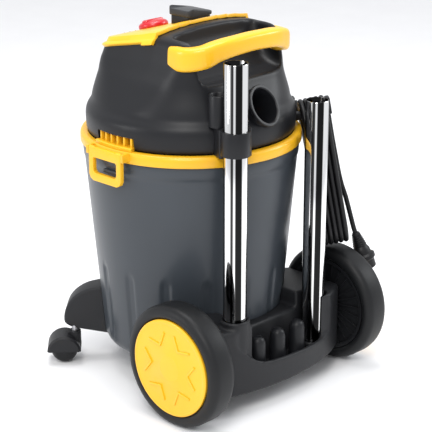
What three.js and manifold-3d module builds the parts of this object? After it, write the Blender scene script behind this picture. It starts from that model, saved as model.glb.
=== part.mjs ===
// A 20 litre wet and dry shop vacuum on wheels, in millimetres, +Z up, +X to the right seen from behind.
// The wheels and the tool tray are at the back (-Y), the two casters and the hose inlet at the front (+Y).
// Everything is built around the tank's axis, and the finished group is centred over the floor at the end.
import * as THREE from "three";
import { mergeVertices } from "three/addons/utils/BufferGeometryUtils.js";
import Module from "manifold-3d";

const wasm = await Module();
wasm.setup();

// ---- driving dimensions -------------------------------------------------------------------------------
const sides = 32; // of the big round pieces, which have to match where they nest
const gap = 0.3; // between pieces that touch
const slip = 0.8; // around a piece that slides by hand

const tank = { bottomZ: 46, topZ: 370, bottomR: 137, topR: 165, wall: 3, cornerR: 14, floorWall: 4 };
const rimBand = { height: 20, proud: 1 };
const ring = { outerR: 169.3, height: 16, innerR: 158 };
const seal = { height: 3, width: 5 };
const head = {
  height: 165.4, baseHalf: 159, topHalf: 100, wall: 3,
  frontSlope: 0.283, slopeY: -26, crown: 0.0009, crownEndY: 90,
};
const deck = { thickness: 5, backY: -26, skirt: 14, lowestSlope: 0.2 };
const handle = {
  height: 28, depth: 26, halfSpan: 97, footY: -72, gripY: -122, footZ: 527, gripZ: 539, footDrop: 13,
};
const pocket = { halfWidth: 86, floorZ: 483, frontY: -44 };
const port = { outerR: 30, wall: 3.5, rim: 2, length: 62, mouthZ: 448, mouthY: -153, tilt: 28, swing: 8 };
const wand = { radius: 17.5, wall: 1.2, length: 390, x: 87.5, y: -177 };
const clip = { wall: 3.4, bottomZ: 397, topZ: 433 };
const toolSocket = { x: -81, y: -138, radius: 15, wall: 3, topZ: 477 };
const latch = { width: 68, bottomZ: 335, thickness: 7, bar: 12, sideBar: 11, pinR: 2 };
const grille = { halfAngle: 14, height: 19, fins: 6, finWidth: 4, ledge: 5 };
const hook = { reach: 66, width: 13, tipHeight: 28, bed: 12.2, tipDepth: 7 };
const knob = { y: 80, radius: 23, height: 15, gripWidth: 12 };
const outlet = {
  halfSize: 23, height: 9, recessR: 17, recessDepth: 8, lidLow: 5, lidHigh: 13, lidOverhang: 2,
};
const wheel = { radius: 92.5, width: 45, outerX: 194.3, coverGap: 1.1, tyreDepth: 18, coverProud: 2.4 };
const axle = { radius: 6, y: -149 };
const base = {
  bottomZ: 31.5, topZ: 136, floorZ: 43.7, backY: -213, frontY: -70, sideGap: 2.5, wall: 6, lipZ: 112,
};
const tray = {
  left: -64, right: 109, frontY: -158, backWall: 7, backZ: 80,
  leftSeatZ: 140, rightSeatZ: 54, seatWall: 4, seatRise: 7,
};
const peg = { radius: 12.5, spacing: 44, y: -183, topZ: 106 };
const arm = { angle: 42.6, width: 42, reach: 203, topZ: 128, bottomZ: 50 };
const caster = { ballR: 21.5, ballWidth: 36, stemX: 138, stemY: 127, trail: 17, hoodWall: 3, stemR: 5 };
const inlet = { z: 230, radius: 29, wall: 4, flangeR: 40, reach: 30 };
const cage = { radius: 42, wall: 3, bottomZ: 268.6, slots: 6, slotWidth: 20 };
const filter = { innerR: 50.6, outerR: 72, pleats: 18, pleatDepth: 8 };
const filterCap = { height: 15 };
const plate = { thickness: 5, intakeR: 22 };
const fan = { housingR: 72, height: 46, wall: 2.5, impellerR: 60, blades: 6 };
const motor = { radius: 50, height: 66, wall: 4, armatureR: 32, shaftR: 4 };
const floatBall = { radius: 26 };
const cord = { radius: 4, turnsAcross: 5, layers: 2, innerR: 24, run: 160 };
const plug = { flangeR: 18.5, bodyR: 15.5, reliefR: 6, length: 62, pinR: 2.4, pinLength: 19, pinSpacing: 19 };

// ---- values worked out from them ----------------------------------------------------------------------
const ringBottomZ = tank.topZ + 1;
const ringTopZ = ringBottomZ + ring.height;
const headTopZ = ringTopZ + gap + head.height;
const plateTopZ = tank.topZ + gap + seal.height + gap + plate.thickness;
const plateBottomZ = plateTopZ - plate.thickness;
const axleZ = wheel.radius;
const wheelInnerX = wheel.outerX - wheel.width;
const coverR = wheel.radius - wheel.tyreDepth - wheel.coverGap;
const latchX = ring.outerR + 2.2;

const latchHingeZ = ringTopZ - 3.5;
const fanTopZ = plateTopZ + gap + fan.height;
const motorTopZ = fanTopZ + gap + motor.height;
const deckTilt = Math.atan(head.frontSlope);

// ---- materials ----------------------------------------------------------------------------------------
const finish = (color, roughness, metalness = 0) => ({ color, roughness, metalness });
const tankGrey = finish(0x50555a, 0.45);
const headBlack = finish(0x2b2c30, 0.42);
const yellow = finish(0xf6c022, 0.35);
const baseGrey = finish(0x2f3033, 0.55);
const rubber = finish(0x1c1c1e, 0.8);
const chrome = finish(0xd8d8d8, 0.1, 1);
const steel = finish(0xa5a5a8, 0.35, 1);
const red = finish(0xd31f36, 0.35);
const paleGrey = finish(0x9a9a9c, 0.45);
const cordBlack = finish(0x17171a, 0.6);
const paper = finish(0xe8e4d8, 0.9);
const copper = finish(0xb46a3c, 0.4, 1);
const white = finish(0xe9e9e6, 0.5);

// ---- solids: joins, cuts and the plain shapes they start from -------------------------------------------
function solidOf(geometry) {
  const flat = geometry.index ? geometry.toNonIndexed() : geometry.clone();
  const bare = new THREE.BufferGeometry().setAttribute("position", flat.getAttribute("position"));
  const merged = mergeVertices(bare, 1e-3);
  const build = (triVerts) =>
    new wasm.Manifold(
      new wasm.Mesh({ numProp: 3, vertProperties: merged.attributes.position.array, triVerts }),
    );
  const triangles = new Uint32Array(merged.index.array);
  const made = build(triangles);
  return made.volume() > 0 ? made : build(triangles.reverse());
}

function geometryOf(solid) {
  const { vertProperties, triVerts } = solid.getMesh();
  const geometry = new THREE.BufferGeometry();
  geometry.setAttribute("position", new THREE.BufferAttribute(new Float32Array(vertProperties), 3));
  geometry.setIndex(new THREE.BufferAttribute(new Uint32Array(triVerts), 1));
  geometry.computeVertexNormals();
  return geometry;
}

const join = (first, ...others) => others.reduce((whole, other) => whole.add(other), first);
const cut = (first, ...others) => others.reduce((whole, other) => whole.subtract(other), first);

// A box between two opposite corners.
function box(low, high) {
  const size = high.map((value, k) => value - low[k]);
  const middle = high.map((value, k) => (value + low[k]) / 2);
  return solidOf(new THREE.BoxGeometry(...size).translate(...middle));
}

// A profile of (radius, z) points turned about the Z axis. It ends on the axis, or closes on itself.
function turned(profile, sides = 28) {
  const points = profile.map(([radius, z]) => new THREE.Vector2(radius, z));
  return solidOf(new THREE.LatheGeometry(points, sides).rotateX(Math.PI / 2));
}

// A hollow round wall from one height to another.
const pipe = (outerR, innerR, z0, z1, sides = 28) =>
  turned([[innerR, z0], [outerR, z0], [outerR, z1], [innerR, z1], [innerR, z0]], sides);

const disc = (radius, z0, z1, sides = 28) => turned([[0, z0], [radius, z0], [radius, z1], [0, z1]], sides);

// Moves a solid made along +Z so that it starts at a point and runs in a direction.
function aimed(solid, start, direction) {
  const turn = new THREE.Quaternion().setFromUnitVectors(
    new THREE.Vector3(0, 0, 1),
    new THREE.Vector3(...direction).normalize(),
  );
  const place = new THREE.Matrix4().makeRotationFromQuaternion(turn).setPosition(...start);
  return solid.transform(place.elements);
}

const rod = (radius, start, direction, length, sides = 16) =>
  aimed(disc(radius, 0, length, sides), start, direction);

// An outline of [x, y] points drawn straight up from z0 to z1.
function slab(outline, z0, z1, holes = [], curveSegments = 4) {
  const shape = outline instanceof THREE.Shape ? outline : outlineOf(outline);
  shape.holes.push(...holes);
  const block = new THREE.ExtrudeGeometry(shape, { depth: z1 - z0, bevelEnabled: false, curveSegments });
  return solidOf(block.translate(0, 0, z0));
}

const outlineOf = (points) => new THREE.Shape(points.map(([x, y]) => new THREE.Vector2(x, y)));

// Stands a slab up, so that its outline is [y, z] and its depth runs along X.
const alongX = (solid) => solid.transform(
  new THREE.Matrix4().makeBasis(
    new THREE.Vector3(0, 1, 0), new THREE.Vector3(0, 0, 1), new THREE.Vector3(1, 0, 0),
  ).elements,
);

// A rectangle with round corners, centred on a point.
function roundedRectangle(width, height, radius, centre = [0, 0]) {
  const [x, y] = [centre[0] - width / 2, centre[1] - height / 2];
  const shape = new THREE.Shape();
  shape.moveTo(x + radius, y);
  shape.lineTo(x + width - radius, y);
  shape.absarc(x + width - radius, y + radius, radius, -Math.PI / 2, 0);
  shape.absarc(x + width - radius, y + height - radius, radius, 0, Math.PI / 2);
  shape.absarc(x + radius, y + height - radius, radius, Math.PI / 2, Math.PI);
  shape.absarc(x + radius, y + radius, radius, Math.PI, Math.PI * 1.5);
  return shape;
}

// A band of a ring about the Z axis, middle and half angle in degrees.
function arcBand(innerR, outerR, middle, half, z0, z1) {
  const [from, to] = [middle - half, middle + half].map(THREE.MathUtils.degToRad);
  const shape = new THREE.Shape();
  shape.absarc(0, 0, outerR, from, to);
  shape.absarc(0, 0, innerR, to, from, true);
  return slab(shape, z0, z1, [], Math.ceil(half / 3));
}

// A section swept along a smooth curve through points.
function swept(section, points, steps) {
  const path = new THREE.CatmullRomCurve3(points.map((p) => new THREE.Vector3(...p)), false, "centripetal");
  return solidOf(new THREE.ExtrudeGeometry(section, { steps, extrudePath: path, curveSegments: 2 }));
}

const ovalSection = (halfUp, halfAcross, sides) =>
  outlineOf(
    Array.from({ length: sides }, (_, k) => {
      const turn = (k / sides) * Math.PI * 2;
      const soften = (value) => Math.sign(value) * Math.abs(value) ** 0.45;
      return [halfUp * soften(Math.cos(turn)), halfAcross * soften(Math.sin(turn))];
    }),
  );

const roundSection = (radius, sides) =>
  outlineOf(
    Array.from({ length: sides }, (_, k) => {
      const turn = (k / sides) * Math.PI * 2;
      return [radius * Math.cos(turn), radius * Math.sin(turn)];
    }),
  );

const mirrored = (solid) => solid.scale([-1, 1, 1]);

// ---- tank ---------------------------------------------------------------------------------------------
const wallR = (z) =>
  tank.bottomR + ((tank.topR - tank.bottomR) * (z - tank.bottomZ)) / (tank.topZ - tank.bottomZ);

// The tank's outside, grown or shrunk by an offset.
function tankForm(offset = 0) {
  const low = tank.bottomZ - offset;
  const bandZ = tank.topZ - rimBand.height;
  const corner = tank.cornerR;
  return turned(
    [
      [0, low],
      [wallR(low) - corner + offset, low],
      [wallR(low) - corner * 0.3 + offset, low + corner * 0.3],
      [wallR(low + corner) + offset, low + corner],
      [wallR(bandZ) + offset, bandZ],
      [wallR(bandZ) + rimBand.proud + offset, bandZ + rimBand.proud],
      [wallR(tank.topZ) + rimBand.proud + offset, tank.topZ],
      [0, tank.topZ],
    ],
    sides,
  );
}

function tankHollow() {
  const low = tank.bottomZ + tank.floorWall;
  const corner = tank.cornerR;
  return turned(
    [
      [0, low],
      [wallR(low) - corner - tank.wall, low],
      [wallR(low + corner) - tank.wall, low + corner],
      [wallR(tank.topZ) - tank.wall, tank.topZ],
      [wallR(tank.topZ) - tank.wall, tank.topZ + 1],
      [0, tank.topZ + 1],
    ],
    sides,
  );
}

function tankShell() {
  const catchZ = latch.bottomZ + latch.bar;
  const latchCatch = box([-latchX + 3.5, -14, catchZ], [-tank.topR + 8, 14, catchZ + 6]);
  const inletHole = rod(inlet.radius + gap, [0, tank.topR - 40, inlet.z], [0, 1, 0], 60, 20);
  const shell = join(tankForm(), latchCatch, mirrored(latchCatch));
  return cut(shell, tankHollow(), inletHole);
}

function hoseInlet() {
  const backY = wallR(inlet.z) - 14;
  const body = join(
    rod(inlet.radius, [0, backY, inlet.z], [0, 1, 0], 14 + inlet.reach, 20),
    rod(inlet.flangeR, [0, wallR(inlet.z) - 5.5, inlet.z], [0, 1, 0], 10, 20),
  );
  const bore = rod(inlet.radius - inlet.wall, [0, backY - 1, inlet.z], [0, 1, 0], 60, 20);
  const behindFlange = cut(tankForm(gap), rod(inlet.radius, [0, 0, inlet.z], [0, 1, 0], 200, 20));
  return cut(body, bore, behindFlange);
}

function inletDeflector() {
  const frontY = wallR(inlet.z) - 14 - gap;
  const hood = rod(inlet.radius, [0, frontY - 30, inlet.z], [0, 1, 0], 30, 16);
  const inside = rod(inlet.radius - tank.wall, [0, frontY - 27, inlet.z], [0, 1, 0], 40, 16);
  const mouth = box([-60, frontY - 31, inlet.z - 60], [60, frontY - 6, inlet.z - 6]);
  return cut(hood, inside, mouth);
}

// ---- ring, seal and latches ---------------------------------------------------------------------------
function clampRing() {
  const lipR = tank.topR + rimBand.proud + gap;
  const stepZ = tank.topZ + gap + seal.height + gap;
  const band = turned(
    [
      [ring.innerR, stepZ],
      [lipR, stepZ],
      [lipR, ringBottomZ - 0.5],
      [ring.outerR - 1, ringBottomZ - 0.5],
      [ring.outerR, ringBottomZ + 3],
      [ring.outerR, ringTopZ - 4],
      [ring.outerR - 3, ringTopZ],
      [ring.innerR, ringTopZ],
      [ring.innerR, stepZ],
    ],
    sides,
  );
  const lug = box(
    [-latchX - latch.thickness, latch.width / 2 + 0.5, ringBottomZ + 3],
    [-ring.outerR + 5, latch.width / 2 + 5.5, ringTopZ],
  );
  const lugs = join(lug, lug.scale([1, -1, 1]));
  const pinHole = latchPin(latch.pinR + gap, 2);
  return cut(join(band, lugs, mirrored(lugs)), pinHole, mirrored(pinHole));
}

const latchPin = (radius, extra = 0) =>
  rod(
    radius,
    [-latchX - latch.thickness / 2, -latch.width / 2 - 5 - extra, latchHingeZ],
    [0, 1, 0],
    latch.width + 10 + extra * 2,
    8,
  );

function latchLoop() {
  const height = ringTopZ - latch.bottomZ;
  const midZ = (ringTopZ + latch.bottomZ) / 2;
  const outer = roundedRectangle(latch.width, height, 8, [0, midZ]);
  const windowHeight = height - latch.bar - ring.height;
  const windowMid = latch.bottomZ + latch.bar + windowHeight / 2;
  const hole = roundedRectangle(latch.width - latch.sideBar * 2, windowHeight, 6, [0, windowMid]);
  const loop = alongX(slab(outer, 0, latch.thickness, [hole])).translate([-latchX - latch.thickness, 0, 0]);
  const catchLip = box(
    [-latchX - 1, -12, latch.bottomZ + 4], [-latchX + 3.2, 12, latch.bottomZ + latch.bar - 2]);
  return cut(join(loop, catchLip), latchPin(latch.pinR + gap, 2));
}

function airGrille() {
  const bottomZ = ringTopZ + gap;
  const [ledgeR, ledgeTop] = [ring.outerR - 4, bottomZ + grille.ledge];
  const ledge = arcBand(head.baseHalf - 12, ledgeR, 180, grille.halfAngle - 0.4, bottomZ, ledgeTop);
  const spread = (grille.halfAngle - 2) * 2;
  const fins = Array.from({ length: grille.fins }, (_, k) => {
    const angle = 180 - spread / 2 + (spread * k) / (grille.fins - 1);
    return box(
      [head.baseHalf - 12, -grille.finWidth / 2, bottomZ + 1],
      [head.baseHalf, grille.finWidth / 2, bottomZ + grille.height - 1],
    ).rotate([0, 0, angle]);
  });
  return join(ledge, ...fins);
}

// ---- head ---------------------------------------------------------------------------------------------
// How round the head's section is: 1 is a full circle, as it is where it meets the ring.
function roundness(z) {
  const lower = THREE.MathUtils.clamp((z - ringTopZ - 38) / 49, 0, 1);
  const upper = THREE.MathUtils.clamp((z - ringTopZ - 87) / 48, 0, 1);
  return 1 - 0.47 * lower - 0.23 * upper;
}

// Distance from the axis to a square with round corners, in the direction of x, y.
function squareRadius(halfWidth, cornerR, x, y) {
  const length = Math.hypot(x, y) || 1;
  const [along, across] = [Math.abs(x), Math.abs(y)].map((v) => v / length).sort((a, b) => b - a);
  const straight = halfWidth - cornerR;
  if ((halfWidth * across) / along <= straight) return halfWidth / along;
  return straight * (along + across) + Math.sqrt(cornerR ** 2 - (straight * (along - across)) ** 2);
}

// How far the head's top falls below its highest point: towards the front, and at the back to the sides too.
function topFall(x, y, z) {
  const share = THREE.MathUtils.clamp((z - ringTopZ - 83) / 70, 0, 1);
  const rear = THREE.MathUtils.clamp((head.crownEndY - y) / (head.crownEndY - head.slopeY), 0, 1);
  return share * (head.frontSlope * Math.max(0, y - head.slopeY) + rear * head.crown * x * x);
}

// The head's outside, grown or shrunk by an offset: a turned form squared off and sloped.
function headForm(offset, bottomZ = ringTopZ + gap) {
  const [low, top, full] = [ringTopZ, headTopZ + offset, head.baseHalf];
  const profile = [
    [0, bottomZ],
    [full - 1, bottomZ],
    [full + 1, low + 14],
    [full, low + 35],
    [full - 12, low + 47],
    [full - 18.5, low + 57],
    [full - 36, low + 87],
    [head.topHalf + 12, low + 113],
    [head.topHalf + 5, low + 135],
    [head.topHalf + 1, headTopZ - 10],
    [head.topHalf - 3, headTopZ - 3],
    [head.topHalf - 10, top],
    [0, top],
  ];
  const points = profile.map(([r, z]) => new THREE.Vector2(r && r + offset, z));
  const form = new THREE.LatheGeometry(points, sides).rotateX(Math.PI / 2);
  const spots = form.getAttribute("position");
  for (let k = 0; k < spots.count; k++) {
    const [x, y, z] = [spots.getX(k), spots.getY(k), spots.getZ(k)];
    const r = Math.hypot(x, y);
    const stretch = r > 1e-6 ? squareRadius(r, r * roundness(z), x, y) / r : 1;
    spots.setXYZ(k, x * stretch, y * stretch, z - topFall(x * stretch, y * stretch, z));
  }
  return solidOf(form);
}

// The hollow for the hand, open to the back and the top.
function handPocket(grow = 0) {
  const floor = pocket.floorZ - grow;
  const front = pocket.frontY + grow;
  const outline = [
    [-190, floor],
    [front - 56, floor],
    [front - 28, floor + 9],
    [front - 4, headTopZ - 18],
    [front, headTopZ + 20],
    [-190, headTopZ + 20],
  ];
  const half = pocket.halfWidth + grow;
  return alongX(slab(outline, -half, half));
}

// Half of the handle's path, from a foot in the head's side to the middle of the grip. More reach
// buries the foot.
function handlePath(reach) {
  const { halfSpan: x, footY, gripY, footZ, gripZ } = handle;
  const side = [
    [x, footY + reach, footZ],
    [x, footY - 14, footZ],
    [x - 7, footY - 29, footZ + 2],
    [x - 23, footY - 41, footZ + 8],
    [x - 46, gripY + 3, gripZ - 1],
  ];
  const far = side.slice().reverse().map(([px, py, pz]) => [-px, py, pz]);
  return [...side, [0, gripY, gripZ], ...far];
}

// Each end is deeper than the grip: a second, lower length of the same bar, merging upward into it.
function footPath(reach) {
  const { halfSpan: x, footY, gripY, footZ, footDrop } = handle;
  const low = footZ - footDrop;
  return [[x, footY + reach, low], [x, footY - 14, low], [x - 7, footY - 29, low], [x - 23, footY - 41, low + 6],
    [x - 46, gripY + 4, handle.gripZ - 4]];
}

function handleForm(grow) {
  const section = () => ovalSection(handle.height / 2 + grow, handle.depth / 2 + grow, 10);
  const foot = swept(section(), footPath(grow), 6);
  return join(swept(section(), handlePath(grow), 12), foot, mirrored(foot));
}

const knobAxis = [0, Math.sin(deckTilt), Math.cos(deckTilt)];
const knobSeat = (lift) => {
  const z = headTopZ + gap + deck.thickness - topFall(0, knob.y, headTopZ);
  return [0, knob.y + knobAxis[1] * lift, z + knobAxis[2] * lift];
};
const stemHole = () => rod(5, knobSeat(-45), knobAxis, 60, 16);

function gripWindow(side) {
  const windowTop = ringTopZ + gap + grille.height;
  const window = arcBand(head.baseHalf - 16, head.baseHalf + 8, 180, grille.halfAngle, ringTopZ - 1, windowTop);
  return side < 0 ? window : mirrored(window);
}

function headShell() {
  const outer = cut(headForm(0), handPocket(), handleForm(gap));
  const wall = head.wall;
  const inner = cut(headForm(-wall, ringTopZ - 1), handPocket(wall), handleForm(wall));
  return cut(outer, inner, gripWindow(-1), gripWindow(1), stemHole(), portRod(port.outerR + gap, -40, 80));
}

function topDeck() {
  const reach = head.baseHalf + 20;
  const wide = box([-reach, deck.backY, 0], [reach, reach, 200]);
  const tilt = new THREE.Matrix4().set(
    1, 0, 0, 0,
    0, 1, 0, 0,
    0, -deck.lowestSlope, 1, headTopZ - deck.skirt + deck.backY * deck.lowestSlope,
    0, 0, 0, 1,
  );
  const region = wide.transform(tilt.elements);
  const skin = cut(headForm(gap + deck.thickness), headForm(gap), stemHole());
  return skin.intersect(region);
}

const portAxis = () => {
  const [tilt, swing] = [port.tilt, port.swing].map(THREE.MathUtils.degToRad);
  return [Math.sin(swing) * Math.cos(tilt), -Math.cos(swing) * Math.cos(tilt), Math.sin(tilt)];
};
const portRod = (radius, from, length) => {
  const axis = portAxis();
  const mouth = [0, port.mouthY, port.mouthZ];
  return rod(radius, mouth.map((v, k) => v - axis[k] * (length + from)), axis, length, 18);
};

function blowerPort() {
  const outside = join(portRod(port.outerR, 0, port.length), portRod(port.outerR + port.rim, 0, 5));
  return cut(outside, portRod(port.outerR - port.wall, -1, port.length + 2));
}

function tubeClip() {
  const collar = pipe(wand.radius + slip + clip.wall, wand.radius + slip, clip.bottomZ, clip.topZ, 18);
  const placed = collar.translate([-wand.x, wand.y, 0]);
  const toCollar = Math.atan2(wand.y, -wand.x);
  const pad = slab(roundedRectangle(34, 50, 4, [166, 6]), ringTopZ + 1.5, clip.topZ - 3);
  const turnedPad = pad.rotate([0, 0, THREE.MathUtils.radToDeg(toCollar)]);
  const bore = disc(wand.radius + slip, 0, 900, 18).translate([-wand.x, wand.y, 0]);
  return cut(join(placed, turnedPad), bore, headForm(gap));
}

function accessorySocket() {
  const cup = cut(disc(toolSocket.radius, clip.topZ - 3 + gap, toolSocket.topZ, 18),
    disc(toolSocket.radius - toolSocket.wall, clip.topZ + 2, toolSocket.topZ + 1, 18));
  return cut(cup.translate([toolSocket.x, toolSocket.y, 0]), headForm(gap), handPocket(head.wall));
}

// The hook's arm carries the hank, so it is laid out in the hank's own frame.
function cableHook() {
  const { reach, width, tipHeight, bed, tipDepth } = hook;
  const start = -45;
  const armBar = box([-width / 2, start, cord.innerR - 2 - bed], [width / 2, start + reach, cord.innerR - 2]);
  const tip = box(
    [-width / 2, start + reach - 0.5, cord.innerR - 2 - bed],
    [width / 2, start + reach + tipDepth, cord.innerR - 2 - bed + tipHeight],
  );
  return cut(inHankFrame(join(armBar, tip)), headForm(gap), disc(ring.outerR + 5, 0, ringTopZ + gap, sides));
}

// ---- inside the head ----------------------------------------------------------------------------------
const basePlate = () =>
  cut(disc(ring.innerR - gap, plateBottomZ, plateTopZ, sides), disc(plate.intakeR, 0, 900, 20));

function fanHousing() {
  const [low, top, r, wall] = [plateTopZ + gap, fanTopZ, fan.housingR, fan.wall];
  const walls = turned([
    [plate.intakeR, low], [r, low], [r, top], [motor.shaftR + 2, top], [motor.shaftR + 2, top - wall],
    [r - wall, top - wall], [r - wall, low + wall], [plate.intakeR, low + wall], [plate.intakeR, low],
  ], 20);
  return cut(walls, box([r - 10, -20, low + 8], [r + 10, 20, top - 8]));
}

function impeller() {
  const [low, r] = [plateTopZ + gap + fan.wall + 6, fan.impellerR];
  const back = cut(disc(r, low + 18, low + 20, 20), disc(motor.shaftR + gap, 0, 900, 12));
  const hub = pipe(10, motor.shaftR + gap, low + 4, low + 19, 12);
  const blades = Array.from({ length: fan.blades }, (_, k) =>
    box([9, -1, low], [r - 3, 1, low + 19]).rotate([0, 0, (360 * k) / fan.blades]));
  return join(back, hub, ...blades);
}

function armature() {
  const [low, top, s] = [plateTopZ + gap + fan.wall + 8, motorTopZ + 5, motor.shaftR];
  const core = fanTopZ + 10;
  return turned([
    [0, low], [s, low], [s, core], [motor.armatureR, core], [motor.armatureR, core + 34],
    [14, core + 36], [14, core + 48], [s, core + 49], [s, top], [0, top],
  ], 12);
}

function motorFrame() {
  const [low, top, r, wall, hole] = [fanTopZ + gap, motorTopZ, motor.radius, motor.wall, motor.shaftR + 1];
  return turned([
    [hole, low], [r, low], [r, top - 8], [r - 18, top], [hole, top], [hole, top - wall],
    [r - 20, top - wall], [r - wall * 2, top - 10], [r - wall * 2, low + wall], [hole, low + wall],
    [hole, low],
  ], 16);
}

function filterCage() {
  const [r, wall, low, top] = [cage.radius, cage.wall, cage.bottomZ, plateBottomZ - gap];
  const can = turned([
    [0, low], [r, low], [r, top - 4], [r + 8, top - 4], [r + 8, top], [r - wall, top], [r - wall, low + wall],
    [0, low + wall],
  ], 20);
  const slot = box([r - 8, -cage.slotWidth / 2, low + 10], [r + 4, cage.slotWidth / 2, top - 14]);
  const slots = Array.from({ length: cage.slots }, (_, k) => slot.rotate([0, 0, (360 * k) / cage.slots]));
  return cut(can, ...slots);
}

function filterCartridge() {
  const corners = filter.pleats * 2;
  const outline = outlineOf(Array.from({ length: corners }, (_, k) => {
    const r = filter.outerR - (k % 2) * filter.pleatDepth;
    return [r * Math.cos((k / corners) * Math.PI * 2), r * Math.sin((k / corners) * Math.PI * 2)];
  }));
  return cut(
    slab(outline, cage.bottomZ, plateBottomZ - gap - 4 - gap),
    disc(filter.innerR, 0, 900, 20),
  );
}

function filterCapDisc() {
  const top = cage.bottomZ - gap;
  const low = top - filterCap.height;
  const knobBar = box([-26, -4, low], [26, 4, top - 8]);
  return join(turned([[0, top - 9], [filter.outerR, top - 9], [filter.outerR + 2, top - 6],
    [filter.outerR + 2, top], [0, top]]), knobBar);
}

const floatShape = () => {
  const low = cage.bottomZ + cage.wall + gap;
  return solidOf(new THREE.SphereGeometry(floatBall.radius, 14, 8).translate(0, 0, low + floatBall.radius));
};

// ---- top controls -------------------------------------------------------------------------------------
function rotaryKnob() {
  const skirt = turned([[0, 0], [knob.radius, 0], [knob.radius, 4], [knob.radius - 3, 7], [0, 7]], 18);
  const gripOutline = roundedRectangle(knob.radius * 1.8, knob.gripWidth, knob.gripWidth / 2 - 0.5);
  const grip = slab(gripOutline, 6, knob.height);
  const stemSocket = disc(4.6, -1, 8, 16);
  return aimed(cut(join(skirt, grip), stemSocket), knobSeat(gap), knobAxis);
}

function rotarySwitch() {
  const body = box([-14, -14, -38], [14, 14, -16]);
  return aimed(join(body, disc(4, -17, 6, 16)), knobSeat(0), knobAxis);
}

const outletLowZ = headTopZ + gap + deck.thickness - topFall(0, 0, headTopZ);
const outletTopZ = outletLowZ + outlet.height;

function outletBody() {
  const size = outlet.halfSize * 2;
  const block = slab(roundedRectangle(size, size, 9), outletLowZ - 12, outletTopZ);
  const recess = disc(outlet.recessR, outletTopZ - outlet.recessDepth, outletTopZ + 1, 20);
  const contactLow = outletTopZ - outlet.recessDepth - 4;
  const contactHoles = [-9.5, 9.5].map((x) => rod(2.8, [x, 0, contactLow], [0, 0, 1], 8, 8));
  return cut(block, recess, headForm(gap + deck.thickness + gap), ...contactHoles);
}

// The lid is a wedge, thicker along its hinge.
function outletLid() {
  const half = outlet.halfSize + outlet.lidOverhang;
  const low = outletTopZ + gap;
  const plan = slab(roundedRectangle(half * 2, half * 2, 10), low, low + outlet.lidHigh + 1);
  const side = slab([[-half - 1, low - 1], [half + 1, low - 1], [half + 1, low + outlet.lidLow],
    [-half + 8, low + outlet.lidHigh], [-half - 1, low + outlet.lidHigh - 3]], -half - 1, half + 1);
  return plan.intersect(side.rotate([90, 0, 0]));
}

// ---- rear base, tray and pegs ---------------------------------------------------------------------------
// The base's plan: straight sides beside the wheels and a bowed back, drawn in by an inset.
function basePlan(inset, backInset, frontY) {
  const side = wheelInnerX - base.sideGap - inset;
  const back = base.backY + backInset;
  const plan = new THREE.Shape();
  plan.moveTo(-side, frontY);
  plan.lineTo(-side, back + 34);
  plan.quadraticCurveTo(-side * 0.62, back, 0, back);
  plan.quadraticCurveTo(side * 0.62, back, side, back + 34);
  plan.lineTo(side, frontY);
  return plan;
}

// What the tray hollows out, open at the top. Its back follows the base's back.
function trayHollow() {
  const middle = (tray.left + tray.right) / 2;
  const outline = roundedRectangle(tray.right - tray.left, 90, 20, [middle, tray.frontY - 45]);
  return slab(outline, base.floorZ, base.topZ + 20)
    .intersect(slab(basePlan(base.wall, tray.backWall, 0), 0, base.topZ + 20, [], 6));
}

// The dip in the back wall, seen from behind.
function backDip() {
  const { left, right, backZ } = tray;
  const outline = [
    [left - 54, base.topZ + 9], [left - 41, backZ + 38], [left - 31, backZ + 24], [left - 18, backZ + 12],
    [left - 2, backZ + 5], [left + 6, backZ], [right - 34, backZ], [right - 14, backZ + 5],
    [right - 5, backZ + 15],
    [right + 1, backZ + 35], [right + 4, base.topZ + 9],
  ];
  const cutBack = tray.frontY - 39;
  return slab(outline, -cutBack, -cutBack + 60).rotate([90, 0, 0]);
}

// A round seat for the foot of a wand tube.
function tubeSeat(x, seatZ) {
  const bore = wand.radius + slip;
  const cup = disc(bore + tray.seatWall, base.floorZ - 1, seatZ + tray.seatRise, 20);
  return cut(cup, disc(bore, seatZ - gap, seatZ + tray.seatRise + 1, 20)).translate([x, wand.y, 0]);
}

function rearBase() {
  const body = slab(basePlan(0, 0, base.frontY), base.bottomZ, base.topZ, [], 6);
  const shelf = slab([[-110, base.frontY - 1], [110, base.frontY - 1], [80, 45], [-80, 45]],
    base.bottomZ + 4, tank.bottomZ + 4);
  const lipLevel = box([-70, -200, base.lipZ], [70, -100, base.topZ + 1]);
  const shaped = cut(join(body, shelf), trayHollow(), backDip(), lipLevel);
  const seats = join(tubeSeat(-wand.x, tray.leftSeatZ), tubeSeat(wand.x, tray.rightSeatZ));
  const bore = disc(wand.radius + slip, tray.rightSeatZ - gap, 300, 20).translate([wand.x, wand.y, 0]);
  const axleHole = rod(axle.radius + gap, [-200, axle.y, axleZ], [1, 0, 0], 400, 16);
  return cut(join(shaped, seats), bore, tankForm(gap + 0.2), axleHole);
}

const accessoryPeg = (k) => turned([
  [0, base.floorZ + gap], [peg.radius, base.floorZ + gap], [peg.radius, peg.topZ - 5],
  [peg.radius - 2.5, peg.topZ - 1.5], [peg.radius - 7, peg.topZ], [0, peg.topZ],
], 16).translate([k * peg.spacing, peg.y + Math.abs(k), 0]);

const wandTube = (x, bottomZ) =>
  pipe(wand.radius, wand.radius - wand.wall, bottomZ, bottomZ + wand.length, 20).translate([x, wand.y, 0]);

// ---- wheels ---------------------------------------------------------------------------------------------
// Wheel pieces are turned about Z with z as the distance along the axle, then laid along X.
const onAxle = (solid, side) => {
  const laid = solid.rotate([0, 90, 0]).translate([0, axle.y, axleZ]);
  return side > 0 ? laid : mirrored(laid);
};

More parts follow.
